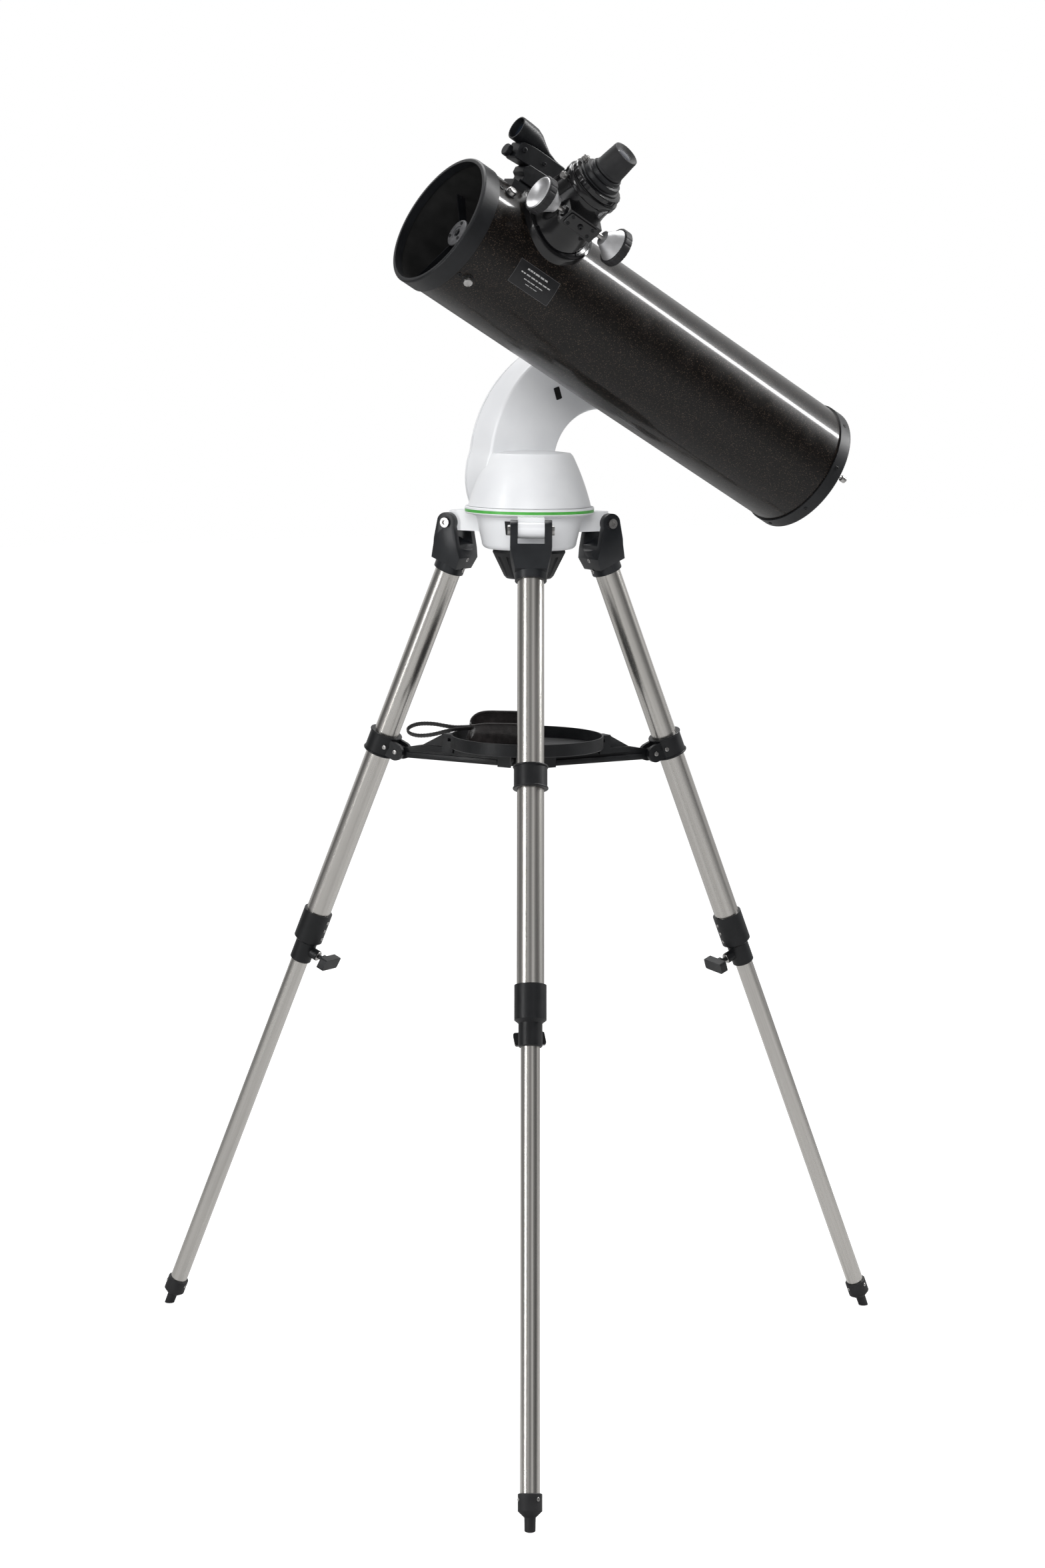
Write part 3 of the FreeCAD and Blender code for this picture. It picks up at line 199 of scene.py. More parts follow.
LOOKS = {
    "tube": material("tube_enamel", (0.0045, 0.0034, 0.003), (0.0026, 0.002, 0.0017), 0.34, 90,
                     coat=0.45, fleck=((0.055, 0.040, 0.030), 1300, 0.86), coat_roughness=0.10,
                     specular=0.14),
    "inside": material("tube_inside", (0.012, 0.012, 0.012), (0.006, 0.006, 0.006), 0.8, 50,
                       bump=0.2, grain=900),
    "ring": material("ring_plastic", (0.0085, 0.009, 0.0105), (0.006, 0.0065, 0.0075), 0.44, 60,
                     bump=0.10, grain=1300, specular=0.4),
    "black": material("black_plastic", (0.0065, 0.007, 0.0082), (0.0042, 0.0046, 0.0054), 0.42, 70,
                      bump=0.14, grain=1500, specular=0.4),
    "fork": material("fork_plastic", (0.013, 0.0145, 0.017), (0.009, 0.010, 0.012), 0.36, 55,
                     bump=0.14, grain=1400, specular=0.45),
    "cast": material("cast_black", (0.0045, 0.0045, 0.005), (0.0025, 0.0025, 0.003), 0.2, 45,
                     coat=0.5, bump=0.06, grain=500, specular=0.4),
    "white": material("white_plastic", (0.80, 0.81, 0.825), (0.755, 0.765, 0.785), 0.34, 22,
                      bump=0.06, grain=1300, coat=0.15, coat_roughness=0.2),
    "green": material("green_band", (0.10, 0.46, 0.085), (0.06, 0.36, 0.05), 0.35, 60, bump=0.05),
    "chrome": material("bright_screw", (0.60, 0.59, 0.58), (0.46, 0.45, 0.44), 0.3, 300,
                       metallic=1.0, spread=0.04),
    "zinc": material("grey_zinc", (0.13, 0.13, 0.135), (0.09, 0.09, 0.095), 0.45, 200,
                     metallic=0.4, spread=0.05),
    "silver": material("silver_anodised", (0.62, 0.62, 0.63), (0.55, 0.55, 0.56), 0.44, 160,
                       metallic=0.85, spread=0.04),
    "rubber": material("rubber", (0.014, 0.014, 0.015), (0.007, 0.007, 0.008), 0.62, 90, bump=0.3,
                       grain=1200),
    "leather": material("pouch_leather", (0.020, 0.017, 0.017), (0.009, 0.008, 0.008), 0.36, 130,
                        bump=0.7, grain=420, coat=0.15, sheen=0.1),
    "strap": material("strap_webbing", (0.021, 0.020, 0.021), (0.010, 0.010, 0.010), 0.55, 240,
                      bump=0.7, grain=900),
    "label": material("label_black", (0.010, 0.010, 0.011), (0.006, 0.006, 0.007), 0.3, 80),
    "print": material("label_print", (0.42, 0.42, 0.42), (0.30, 0.30, 0.30), 0.45, 300),
    "glass": material("coated_lens", (0.012, 0.018, 0.030), (0.006, 0.010, 0.022), 0.05, 30,
                      spread=0.02, coat=1.0, specular=0.9),
    "mirror": material("mirror_coating", (0.86, 0.88, 0.90), (0.80, 0.82, 0.85), 0.04, 12,
                       metallic=1.0, spread=0.015),
    **{f"steel_{leg}": material(f"satin_steel_{leg}", (0.68, 0.66, 0.63), (0.60, 0.58, 0.55),
                                0.27, 10, metallic=1.0, stretch=(30, 30, 0.35), spread=0.03,
                                along=leg_frame(angle).to_euler())
       for leg, angle in LEGS.items()},
    # Near-black look for socket openings: painted shade standing in for the depth of holes that are
    # not modelled.
    "dark": material("painted_socket_shade", (0.006, 0.006, 0.006), (0.003, 0.003, 0.003), 0.7, 60),
}


# ---- mesh helpers ----------------------------------------------------------------------------

def finish_piece(name, bm, look, body, slot, smooth=38, bevel=0.0, steps=2, subdivide=0):
    """Turn the bmesh into a piece that rides on a CAD body."""
    bmesh.ops.recalc_face_normals(bm, faces=bm.faces)
    mesh = bpy.data.meshes.new(name)
    bm.to_mesh(mesh)
    bm.free()
    mesh.materials.append(LOOKS[look])
    piece = bpy.data.objects.new(name, mesh)
    bpy.context.scene.collection.objects.link(piece)
    for polygon in mesh.polygons:
        polygon.use_smooth = True
    mesh.set_sharp_from_angle(angle=math.radians(smooth))
    if bevel:
        edge = piece.modifiers.new("edges", "BEVEL")
        edge.width = bevel * MM
        edge.segments = steps
        edge.limit_method = "ANGLE"
        edge.angle_limit = math.radians(30)
    if subdivide:
        surface = piece.modifiers.new("surface", "SUBSURF")
        surface.levels = subdivide
        surface.render_levels = subdivide
    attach(piece, body)
    return piece


def ring_of(bm, place, radius, height, count, wave=None):
    """One row of corners round the placement's Z; wave adds to the radius at each corner."""
    corners = []
    for i in range(count):
        turn = 2 * math.pi * i / count
        r = radius + (wave(i) if wave else 0)
        corners.append(bm.verts.new(
            place @ (Vector((r * math.cos(turn), r * math.sin(turn), height)) * MM)))
    return corners


def skin(bm, rows):
    """Faces between following rows of corners; a row of one corner is a pole."""
    for low, high in zip(rows, rows[1:]):
        for i in range(max(len(low), len(high))):
            a, b = low[i % len(low)], low[(i + 1) % len(low)]
            c, d = high[(i + 1) % len(high)], high[i % len(high)]
            corners = []
            for corner in (a, b, c, d):
                if corner not in corners:
                    corners.append(corner)
            if len(corners) > 2:
                bm.faces.new(corners)


def lathe_into(bm, place, profile, count=48, closed=False, wave=None):
    """Turn (radius, height) points round the placement's Z axis; radius 0 makes a pole."""
    rows = []
    for radius, height in profile:
        if radius == 0:
            rows.append([bm.verts.new(place @ Vector((0, 0, height * MM)))])
        else:
            rows.append(ring_of(bm, place, radius, height, count, wave))
    if closed:
        rows.append(rows[0])
    skin(bm, rows)


def lathe(name, place, profile, look, body, slot, count=48, closed=False, wave=None, **options):
    bm = bmesh.new()
    lathe_into(bm, place, profile, count, closed, wave)
    return finish_piece(name, bm, look, body, slot, **options)


def prism_into(bm, place, outline, low, high):
    """A closed outline of (x, y) points between two heights along the placement's Z."""
    rows = [[bm.verts.new(place @ (Vector((x, y, h)) * MM)) for x, y in outline]
            for h in (low, high)]
    skin(bm, rows)
    bm.faces.new(rows[0])
    bm.faces.new(rows[1])


def prism(name, place, outline, low, high, look, body, slot, **options):
    bm = bmesh.new()
    prism_into(bm, place, outline, low, high)
    return finish_piece(name, bm, look, body, slot, **options)


def rounded_box(width, depth, corner, steps=4):
    """A rectangle's outline with round corners."""
    points = []
    for sx, sy, start in ((1, 1, 0), (-1, 1, 90), (-1, -1, 180), (1, -1, 270)):
        for i in range(steps + 1):
            turn = math.radians(start + 90 * i / steps)
            points.append((sx * (width / 2 - corner) + corner * math.cos(turn),
                           sy * (depth / 2 - corner) + corner * math.sin(turn)))
    return points


def along_arc(start, through, end, steps):
    """Points of the circle through three points, in the plane, without the last one."""
    (ax, ay), (bx, by), (cx, cy) = start, through, end
    d = 2 * (ax * (by - cy) + bx * (cy - ay) + cx * (ay - by))
    ux = ((ax ** 2 + ay ** 2) * (by - cy) + (bx ** 2 + by ** 2) * (cy - ay)
          + (cx ** 2 + cy ** 2) * (ay - by)) / d
    uy = ((ax ** 2 + ay ** 2) * (cx - bx) + (bx ** 2 + by ** 2) * (ax - cx)
          + (cx ** 2 + cy ** 2) * (bx - ax)) / d
    radius = math.hypot(ax - ux, ay - uy)
    first = math.atan2(ay - uy, ax - ux)
    middle = (math.atan2(by - uy, bx - ux) - first) % (2 * math.pi)
    last = (math.atan2(cy - uy, cx - ux) - first) % (2 * math.pi)
    if middle > last:
        last -= 2 * math.pi
    return [(ux + radius * math.cos(first + last * i / steps),
             uy + radius * math.sin(first + last * i / steps)) for i in range(steps)]


# ---- CAD nodes: materials and smooth shading -------------------------------------------------

def dress(names, look, angle=32, bevel=0.0):
    """Give CAD nodes a look, smooth faces and, if asked, softened edges."""
    for name in names:
        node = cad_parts[name]
        mesh = node.data
        mesh.materials.clear()
        mesh.materials.append(LOOKS[look])
        if "custom_normal" in mesh.attributes:
            mesh.attributes.remove(mesh.attributes["custom_normal"])
        for polygon in mesh.polygons:
            polygon.use_smooth = True
            polygon.material_index = 0
        weld = node.modifiers.new("weld", "WELD")
        weld.merge_threshold = 0.00001
        if bevel:
            edge = node.modifiers.new("edges", "BEVEL")
            edge.width = bevel * MM
            edge.segments = 2
            edge.limit_method = "ANGLE"
            edge.angle_limit = math.radians(40)
        split = node.modifiers.new("split", "EDGE_SPLIT")
        split.split_angle = math.radians(angle)


def each(stem):
    return [f"{stem}_{leg}" for leg in LEGS]


dress(["tube"], "tube")
dress(["front_ring", "rear_ring"], "ring")
dress(["dovetail", "saddle", "turntable"], "silver", bevel=0.5)
dress(["spider", "secondary_holder", "mirror_cell", "finder_shoe"], "black")
dress(["primary_mirror", "secondary_mirror"], "mirror")
dress(["focuser_body"], "cast")
dress(["drawtube", "finder"], "black")
dress(["eyepiece"], "rubber")
dress(["focus_knobs"], "silver")
dress(each("collimation_knob") + ["hinge_pins", "altitude_shaft", "azimuth_post"], "chrome")
for number in LEGS:
    dress([f"upper_tube_{number}", f"lower_tube_{number}"], f"steel_{number}")
dress(each("fork"), "fork", bevel=1.2)
dress(each("collar") + each("spreader_band"), "black")
dress(each("foot"), "rubber")
dress(each("lock_knob") + ["saddle_knob", "mount_knob"], "black")
dress(each("spreader_arm") + ["spreader_hub"], "black", bevel=0.4)
dress(["tray"], "black")
dress(["azimuth_motor", "altitude_motor"], "cast")
dress(["dome", "base_bowl", "arm_front", "arm_back"], "white")
dress(["stripe_ring"], "green")


# ---- mount arm -------------------------------------------------------------------------------

def arm_points():
    """The elbow's outline in (x, z), from the foot up the back, round the hub and down."""
    points = along_arc((-53, ARM_FOOT), (-60, 1148), (-53.5, 1180), 10)
    points += along_arc((-53.5, 1180), (-20, 1261), (PIVOT_X, PIVOT_Z + HUB_RADIUS), 30)
    points += along_arc((PIVOT_X, PIVOT_Z + HUB_RADIUS), (PIVOT_X + HUB_RADIUS, PIVOT_Z),
                        (PIVOT_X, PIVOT_Z - HUB_RADIUS), 28)
    points += along_arc((PIVOT_X, PIVOT_Z - HUB_RADIUS), (62, 1214.5), (41, 1180), 18)
    points += [(41 + 9 * i / 6, 1180 - 66.9 * i / 6) for i in range(7)]
    return points


def offset_points(points, inset):
    """Each point moved inwards along the outline's normal; the foot keeps its level."""
    moved = []
    for i, (x, z) in enumerate(points):
        before, after = points[i - 1], points[(i + 1) % len(points)]
        if i == 0:
            before = (x, z - 1)
        if i == len(points) - 1:
            after = (x, z - 1)
        dx, dz = after[0] - before[0], after[1] - before[1]
        size = math.hypot(dx, dz)
        moved.append((x + inset * dz / size, max(z - inset * dx / size, points[0][1])))
    return moved


def add_arm():
    outline = arm_points()
    front = [(5 + 3.5 * (1 - math.sin(math.radians(90 * i / 6))),
              3.5 * (1 - math.cos(math.radians(90 * i / 6)))) for i in range(6, -1, -1)]
    rear = [(67 - 14 * (1 - math.sin(math.radians(90 * i / 9))),
             14 * (1 - math.cos(math.radians(90 * i / 9)))) for i in range(10)]
    groove = [(52.2, 0), (52.5, 0.9), (53.5, 0.9), (53.8, 0)]
    for name, rows, node in (
            ("arm_front_cover", front + [(20, 0), (36, 0), groove[0], groove[1], (53.0, 1.0)],
             "arm_front"),
            ("arm_back_cover", [(53.02, 1.0), groove[2], groove[3]] + rear, "arm_back")):
        bm = bmesh.new()
        loops = [[bm.verts.new(Vector((x, y, z)) * MM) for x, z in offset_points(outline, inset)]
                 for y, inset in rows]
        skin(bm, loops)
        bm.faces.new(loops[0])
        bm.faces.new(loops[-1])
        piece = finish_piece(name, bm, "white", "mount", "white_plastic", smooth=40)
        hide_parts(node)


def add_heel():
    """The part of the dome that shows behind the arm's back."""
    back = 66.6
    profile = along_arc((76.4, ARM_FOOT), (67.9, 1141), (53.4, 1175.2), 40)
    bm = bmesh.new()
    rows = []
    for radius, z in profile:
        if radius < back + 0.4:
            break
        reach = math.acos(back / radius)
        turns = [math.pi / 2 - reach + 2 * reach * i / 24 for i in range(25)]
        row = [(radius * math.cos(turn), radius * math.sin(turn)) for turn in turns]
        row += [(row[-1][0] * (1 - i / 4), back) for i in range(1, 8)]
        rows.append([bm.verts.new(Vector((x, y, z)) * MM) for x, y in row])
    skin(bm, rows)
    bm.faces.new(rows[0])
    bm.faces.new(rows[-1])
    finish_piece("arm_heel", bm, "white", "mount", "white_plastic", smooth=40)


def add_port():
    """The small tilted socket on the arm's near face."""
    lean = math.radians(18)
    place = frame_of(Vector((math.cos(lean), 0, math.sin(lean))), -Y, (42.6, 5, 1251.2))
    bm = bmesh.new()
    prism_into(bm, place, rounded_box(8.4, 15.5, 1.2), -1.0, 0.5)
    finish_piece("port_frame", bm, "black", "mount", "black_plastic", bevel=0.2)
    # Each socket opening is a raised dark pad: painted shade in place of a hole.
    for i, side in enumerate((-1, 1)):
        prism(f"port_socket_{i}", place @ shift(0.3, side * 3.4), rounded_box(4.2, 3.4, 0.5),
              0.3, 0.8, "dark", "mount", "black_plastic")


def bowl_radius(z):
    return 59 + (66.6 - 59) * (z - 1068) / (1101 - 1068)


def add_switch_panel():
    """The power socket and switch on the bowl, a curved plate left of the near leg."""
    bm = bmesh.new()
    rows = []
    for z in (1080, 1084, 1092, 1097):
        row = []
        for depth in (0.6, -2.2):
            for i in range(7):
                step = i if depth < 0 else 6 - i
                turn = math.radians(-148 + 24 * step / 6)
                r = bowl_radius(z) - depth
                row.append(bm.verts.new(Vector((r * math.cos(turn), r * math.sin(turn), z)) * MM))
        rows.append(row)
    skin(bm, rows)
    bm.faces.new(rows[0])
    bm.faces.new(rows[-1])
    finish_piece("switch_panel", bm, "black", "base", "black_plastic", bevel=0.5)
    # The sockets are dark discs: their black plastic, darkened further as painted shade for the
    # openings.
    for i, angle in enumerate((-144, -136, -129)):
        place = turned_frame(angle) @ shift(bowl_radius(1088) + 2, 0, 1088.5)
        place = place @ Matrix.Rotation(math.radians(90), 4, "Y")
        lathe(f"panel_socket_{i}", place, [(0, 0.9), (1.4, 0.9), (1.4, 1.0), (2.7, 1.0), (3.0, 0.7),
                                           (3.0, -0.5)], "dark", "base", "black_plastic", count=20)


def add_screw(name, place, radius, height, body, look="chrome", slot="bare_chrome"):
    """A domed screw head with a hex socket, its foot on the placement's XY plane."""
    inner = radius * 0.52
    profile = [(radius * 0.96, -0.4), (radius, 0), (radius, height * 0.55),
               (radius * 0.86, height * 0.9), (radius * 0.66, height), (inner, height),
               (inner, height * 0.35), (0, height * 0.25)]
    bm = bmesh.new()
    lathe_into(bm, place, profile, 24)
    lathe_into(bm, place, [(inner * 0.98, height * 0.97), (inner * 0.72, height * 0.97),
                           (inner * 0.72, height * 0.3), (0, height * 0.3)], 6)
    finish_piece(name, bm, look, body, slot, smooth=35)


def along_x(place, sign):
    """Turn a placement so that its Z points along its own X, either way."""
    return place @ Matrix.Rotation(math.radians(90 * sign), 4, "Y")


def along_y(place, sign):
    return place @ Matrix.Rotation(math.radians(-90 * sign), 4, "X")


def add_leg_details():
    for leg, angle in LEGS.items():
        base = leg_frame(angle)
        for i, z in enumerate((-37, -52)):
            place = along_x(base @ shift(LEG_AXIS - 19.2, 0, z), -1)
            add_screw(f"fork_screw_{leg}_{i}", place, 3.0, 1.3, f"leg_{leg}")
        for i, z in enumerate((-566, -578, -590)):
            place = along_x(base @ shift(LEG_AXIS - 18.9, 0, z), -1)
            add_screw(f"collar_screw_{leg}_{i}", place, 2.0, 1.0, f"leg_{leg}")
        for name, z in (("band_top", -292.4), ("band_low", -318.6)):
            lathe(f"{name}_lip_{leg}", base @ shift(LEG_AXIS, 0, z),
                  [(16.2, -1.1), (20.9, -1.1), (21.3, -0.5), (21.3, 0.5), (20.9, 1.1), (16.2, 1.1)],
                  "black", f"leg_{leg}", "black_plastic", count=48, closed=True)
        for side in (-1, 1):
            end = "left" if side > 0 else "right"
            for i, (x, y) in enumerate(((-42.1, 12.25), (-27.5, 16.2))):
                place = along_y(base @ shift(x, side * y, -305.5), side)
                add_screw(f"band_screw_{leg}_{end}_{i}", place, 3.0, 1.4, f"leg_{leg}")
        for i, turn in enumerate((40, -70, 180)):
            place = base @ shift(LEG_AXIS, 0, -1143.5) @ Matrix.Rotation(math.radians(turn), 4, "Z")
            add_screw(f"foot_screw_{leg}_{i}", along_x(place @ shift(13.7), 1), 2.2, 0.9,
                      f"extension_{leg}")
        washer = along_x(base @ shift(LEG_AXIS - 23.4, 0, -613), -1)
        lathe(f"lock_washer_{leg}", washer,
              [(3.2, 0), (6.2, 0), (6.6, 0.4), (6.2, 0.9), (3.2, 0.9)], "chrome", f"lock_{leg}",
              "bare_chrome", count=28, closed=True)


# ---- optical tube ----------------------------------------------------------------------------

def add_tube_details():
    for i, phi in enumerate((45, 135, 225, 315)):
        place = on_tube(40, phi, TUBE_RADIUS)
        lathe(f"vane_nut_cap_{i}", place,
              [(5.0, -0.3), (5.9, 0), (5.9, 4.6), (5.4, 6.2), (4.4, 6.9), (3.0, 7.1), (0, 7.2)],
              "chrome", "tube_assembly", "bare_chrome", count=36)
        lathe(f"vane_washer_{i}", place, [(0, 0.9), (6.9, 0.9), (7.3, 0.5), (7.3, -0.3)], "black",
              "tube_assembly", "black_plastic", count=36)
    for i, phi in enumerate((-45, 45, 135, 225)):
        add_screw(f"front_screw_{i}", on_tube(27.5, phi, TUBE_RADIUS), 2.6, 1.2,
                  "tube_assembly", "black", "black_plastic")
    for i, phi in enumerate((-135, -45, 45, 135, 90, 0, 180, 270)):
        add_screw(f"rear_screw_{i}", on_tube(595, phi, TUBE_RADIUS + 2), 2.3, 0.9,
                  "tube_assembly", "black", "black_plastic")
    for i, turn in enumerate((60, 180, 300)):
        place = TUBE @ Matrix.Rotation(math.radians(turn), 4, "Z") @ shift(58, 0, 603)
        lathe(f"cell_lock_screw_{i}", place,
              [(2.0, 0), (2.0, 20), (3.6, 20.4), (4.0, 21.2), (4.0, 26.2), (3.4, 27.2), (0, 27.6)],
              "chrome", "tube_assembly", "bare_chrome", count=36,
              wave=lambda k: 0.0 if k % 2 else -0.12, smooth=30)
    bm = bmesh.new()
    lathe_into(bm, TUBE, [(78.4, 11), (78.4, 590)], 96)
    finish_piece("tube_lining", bm, "inside", "tube_assembly", "black_steel")
    add_label()
    add_spider_hub()


def curved_patch(bm, s_low, s_high, phi_low, phi_high, reach, steps=8):
    """A rectangle wrapped on the tube at a reach from its axis."""
    rows = []
    for i in range(steps + 1):
        phi = phi_low + (phi_high - phi_low) * i / steps
        out = out_of_tube(phi)
        rows.append([bm.verts.new((LIP + REAR * s + out * reach) * MM) for s in (s_low, s_high)])
    for low, high in zip(rows, rows[1:]):
        bm.faces.new((low[0], low[1], high[1], high[0]))


def add_label():
    """A black plate with a fine border and rows of short generic bars in place of words."""
    low, high, near, far = 78, 138, -176, -154
    marks = TUBE_RADIUS + 0.2
    bm = bmesh.new()
    curved_patch(bm, low, high, near, far, TUBE_RADIUS + 0.12, 12)
    finish_piece("label_plate", bm, "label", "tube_assembly", "black_plastic")
    bm = bmesh.new()
    turn = 0.4 / TUBE_RADIUS * 180 / math.pi
    for s_low, s_high, p_low, p_high in (
            (low, high, near, near + turn), (low, high, far - turn, far),
            (low, low + 0.4, near, far), (high - 0.4, high, near, far)):
        curved_patch(bm, s_low, s_high, p_low, p_high, marks, 10)
    finish_piece("label_border", bm, "zinc", "tube_assembly", "bare_chrome")
    bm = bmesh.new()
    rng = random.Random(4)
    for phi, height, start, end in ((-171.2, 2.0, 92, 124), (-166.8, 1.5, 86, 130),
                                    (-162.8, 1.1, 94, 122), (-159.6, 0.8, 99, 117)):
        s = start
        while s < end - 2:
            length = rng.uniform(2.0, 6.5)
            stop = min(s + length, end)
            half = height / TUBE_RADIUS * 180 / math.pi / 2
            curved_patch(bm, s, stop, phi - half, phi + half, marks, 2)
            s = stop + rng.uniform(0.7, 1.6)
    finish_piece("label_marks", bm, "print", "tube_assembly", "bare_chrome")


def add_spider_hub():
    """The grey disc with three adjusting screws in front of the spider's boss."""
    place = TUBE @ shift(0, 0, 29.8) @ Matrix.Rotation(math.pi, 4, "X")
    lathe("spider_face", place, [(5, 0.6), (8.2, 0.6), (8.4, 1.6), (15.6, 1.6), (16.6, 0.9),
                                 (16.9, -0.4)], "zinc", "tube_assembly", "bare_chrome")
    lathe("spider_centre", place, [(0, 2.4), (2.6, 2.4), (3.0, 2.0), (3.2, 0.2), (7.6, 0.2)],
          "black", "tube_assembly", "black_plastic", count=24)
    for i in range(3):
        turn = place @ Matrix.Rotation(math.radians(120 * i + 20), 4, "Z")
        add_screw(f"spider_adjuster_{i}", turn @ shift(12, 0, 1.6), 2.2, 1.0, "tube_assembly",
                  "black", "black_plastic")


# ---- focuser ---------------------------------------------------------------------------------

FOCUS = on_tube(110, 133)
# The flange's face, bent round the tube's axis, and the focus knobs' spindle in FOCUS.
FLANGE_FACE = 87
SPINDLE_Y, SPINDLE_Z = -38, 117


def flange_place(x, y):
    """A placement on the flange's face, which is bent round the tube, pointing out of it."""
    turn = math.asin(y / FLANGE_FACE)
    out = FOCUS.to_3x3() @ Vector((0, math.sin(turn), math.cos(turn)))
    return frame_of(REAR, out, (FOCUS @ (Vector((x, 0, 0)) * MM)) / MM + out * FLANGE_FACE)


def add_focuser_details():
    bm = bmesh.new()
    rows = []
    for radius, lift in ((52.2, -1.5), (52.2, 0.8), (51.2, 1.6), (48.6, 1.6), (47.8, 0.8),
                         (47.8, -1.0)):
        row = []
        for i in range(72):
            turn = 2 * math.pi * i / 72
            x, y = radius * math.cos(turn), radius * math.sin(turn)
            height = math.sqrt(FLANGE_FACE ** 2 - y ** 2) + lift
            row.append(bm.verts.new(FOCUS @ (Vector((x, y, height)) * MM)))
        rows.append(row)
    skin(bm, rows)
    finish_piece("flange_rim", bm, "cast", "tube_assembly", "black_metal")
    for i, (x, y) in enumerate(((31, 35), (-31, 35), (-31, -35), (31, -35))):
        add_screw(f"flange_screw_{i}", flange_place(x, y), 2.8, 1.4, "tube_assembly", "black",
                  "black_metal")
    for i, angle in enumerate((18, 62, 118, 162)):
        turn = FOCUS @ Matrix.Rotation(math.radians(angle), 4, "Z")
        prism(f"focuser_rib_{i}", turn @ Matrix.Rotation(math.radians(90), 4, "X"),
              [(34, 92), (45.5, 84), (34.6, 146), (32, 146)], -1.3, 1.3, "cast", "tube_assembly",
              "black_metal", bevel=0.5)
    lathe("focuser_top_ring", FOCUS @ shift(0, 0, 143),
          [(34, -4), (36.0, -3.2), (36.4, -2.4), (36.4, 4.2), (35.6, 5.4), (30.5, 5.6), (30.5, 3)],
          "cast", "tube_assembly", "black_metal", count=72)
    for i, x in enumerate((-24, 24)):
        place = along_x(FOCUS @ shift(x, SPINDLE_Y, SPINDLE_Z), 1 if x > 0 else -1)
        lathe(f"pinion_bush_{i}", place, [(3.2, 2.4), (6.0, 2.4), (6.6, 1.8), (6.6, -1)], "cast",
              "tube_assembly", "black_metal", count=32)
    plate = along_y(FOCUS @ shift(0, -47, SPINDLE_Z), -1)
    prism("pinion_plate", plate, rounded_box(40, 17, 2.5), 0, 1.8, "cast", "tube_assembly",
          "black_metal", bevel=0.4)
    for i, (x, y) in enumerate(((-15, 5), (15, 5), (-15, -5), (15, -5))):
        add_screw(f"pinion_screw_{i}", plate @ shift(x, y, 1.8), 2.2, 1.2, "tube_assembly",
                  "black", "black_metal")
    add_screw("tension_screw", plate @ shift(0, 0, 1.8), 3.2, 3.0, "tube_assembly", "black",
              "black_metal")
    for i, angle in enumerate((100, 190)):
        turn = FOCUS @ Matrix.Rotation(math.radians(angle), 4, "Z")
        add_thumbscrew(f"drawtube_lock_{i}", along_x(turn @ shift(36, 0, 139), 1), 4.2, 8,
                       "tube_assembly")


def add_thumbscrew(name, place, radius, length, body):
    """A small silver screw with a knurled head."""
    profile = [(1.6, -2), (1.6, 2.2), (radius - 0.6, 2.4), (radius, 3.0), (radius, length - 0.8),
               (radius - 0.7, length), (0, length)]
    lathe(name, place, profile, "chrome", body, "bare_chrome", count=40,
          wave=lambda i: 0.22 if i % 2 else -0.22, smooth=25)


def add_drawtube_details():
    """The knurled clamp ring and the stepped adapter with its two thumbscrews."""
    ring = [(30, 149.5), (33.4, 149.5), (34.0, 150.2), (34.0, 155.2), (33.2, 156.2), (30.6, 156.8),
            (26, 157.0)]
    lathe("drawtube_ring", FOCUS, ring, "cast", "draw", "bare_chrome", count=120,
          wave=lambda i: 0.0 if i % 4 < 2 else -0.35, smooth=30)
    adapter = [(27.4, 156.6), (28.0, 157.2), (28.0, 158.4), (27.4, 159.0), (24.9, 159.2),
               (24.7, 164.4), (24.1, 165.2), (21.4, 165.6), (21.2, 167.0), (20.7, 167.4),
               (20.7, 170.4), (20.1, 171.2), (16.4, 171.2)]
    lathe("eyepiece_adapter", FOCUS, adapter, "black", "draw", "bare_chrome", count=96, smooth=30)
    for i, (angle, z, reach) in enumerate(((60, 162.0, 24), (150, 162.0, 24), (105, 153.0, 33.4))):
        turn = FOCUS @ Matrix.Rotation(math.radians(angle), 4, "Z")
        add_thumbscrew(f"adapter_screw_{i}", along_x(turn @ shift(reach, 0, z), 1), 3.4, 8.5,
                       "draw")


def add_focus_knobs():
    """Silver cones with a dished face and a ribbed rubber tyre."""
    for name, sign in (("front", -1), ("rear", 1)):
        place = along_x(FOCUS @ shift(0, SPINDLE_Y, SPINDLE_Z), sign)
        cone = [(0, 35.8), (7.6, 35.8), (9.3, 36.6), (9.6, 38.2), (13.4, 44.4), (17.6, 50.0),
                (20.3, 53.4), (20.3, 63.8), (19.6, 64.5), (18.6, 64.5), (17.6, 63.8), (15.0, 61.0),
                (10.0, 58.6), (5.0, 57.6), (0, 57.3)]
        piece = lathe(f"{name}_knob_cone", place, cone, "silver", "focus_spindle",
                      "bare_aluminium", count=72, smooth=32)
        tyre = [(20.2, 52.9), (22.0, 53.3), (22.8, 54.2), (22.8, 62.4), (22.0, 63.4), (20.2, 63.7)]
        lathe(f"{name}_knob_tyre", place, tyre, "rubber", "focus_spindle", "black_rubber",
              count=108, wave=lambda i: -0.55 if i % 6 == 0 else 0.0, smooth=28)
        if sign > 0:
            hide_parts("focus_knobs")
    lathe("focus_spindle_rod", along_x(FOCUS @ shift(0, SPINDLE_Y, SPINDLE_Z), 1),
          [(0, -56), (3, -56), (3, 56), (0, 56)], "chrome", "focus_spindle", "bare_aluminium",
          count=32)


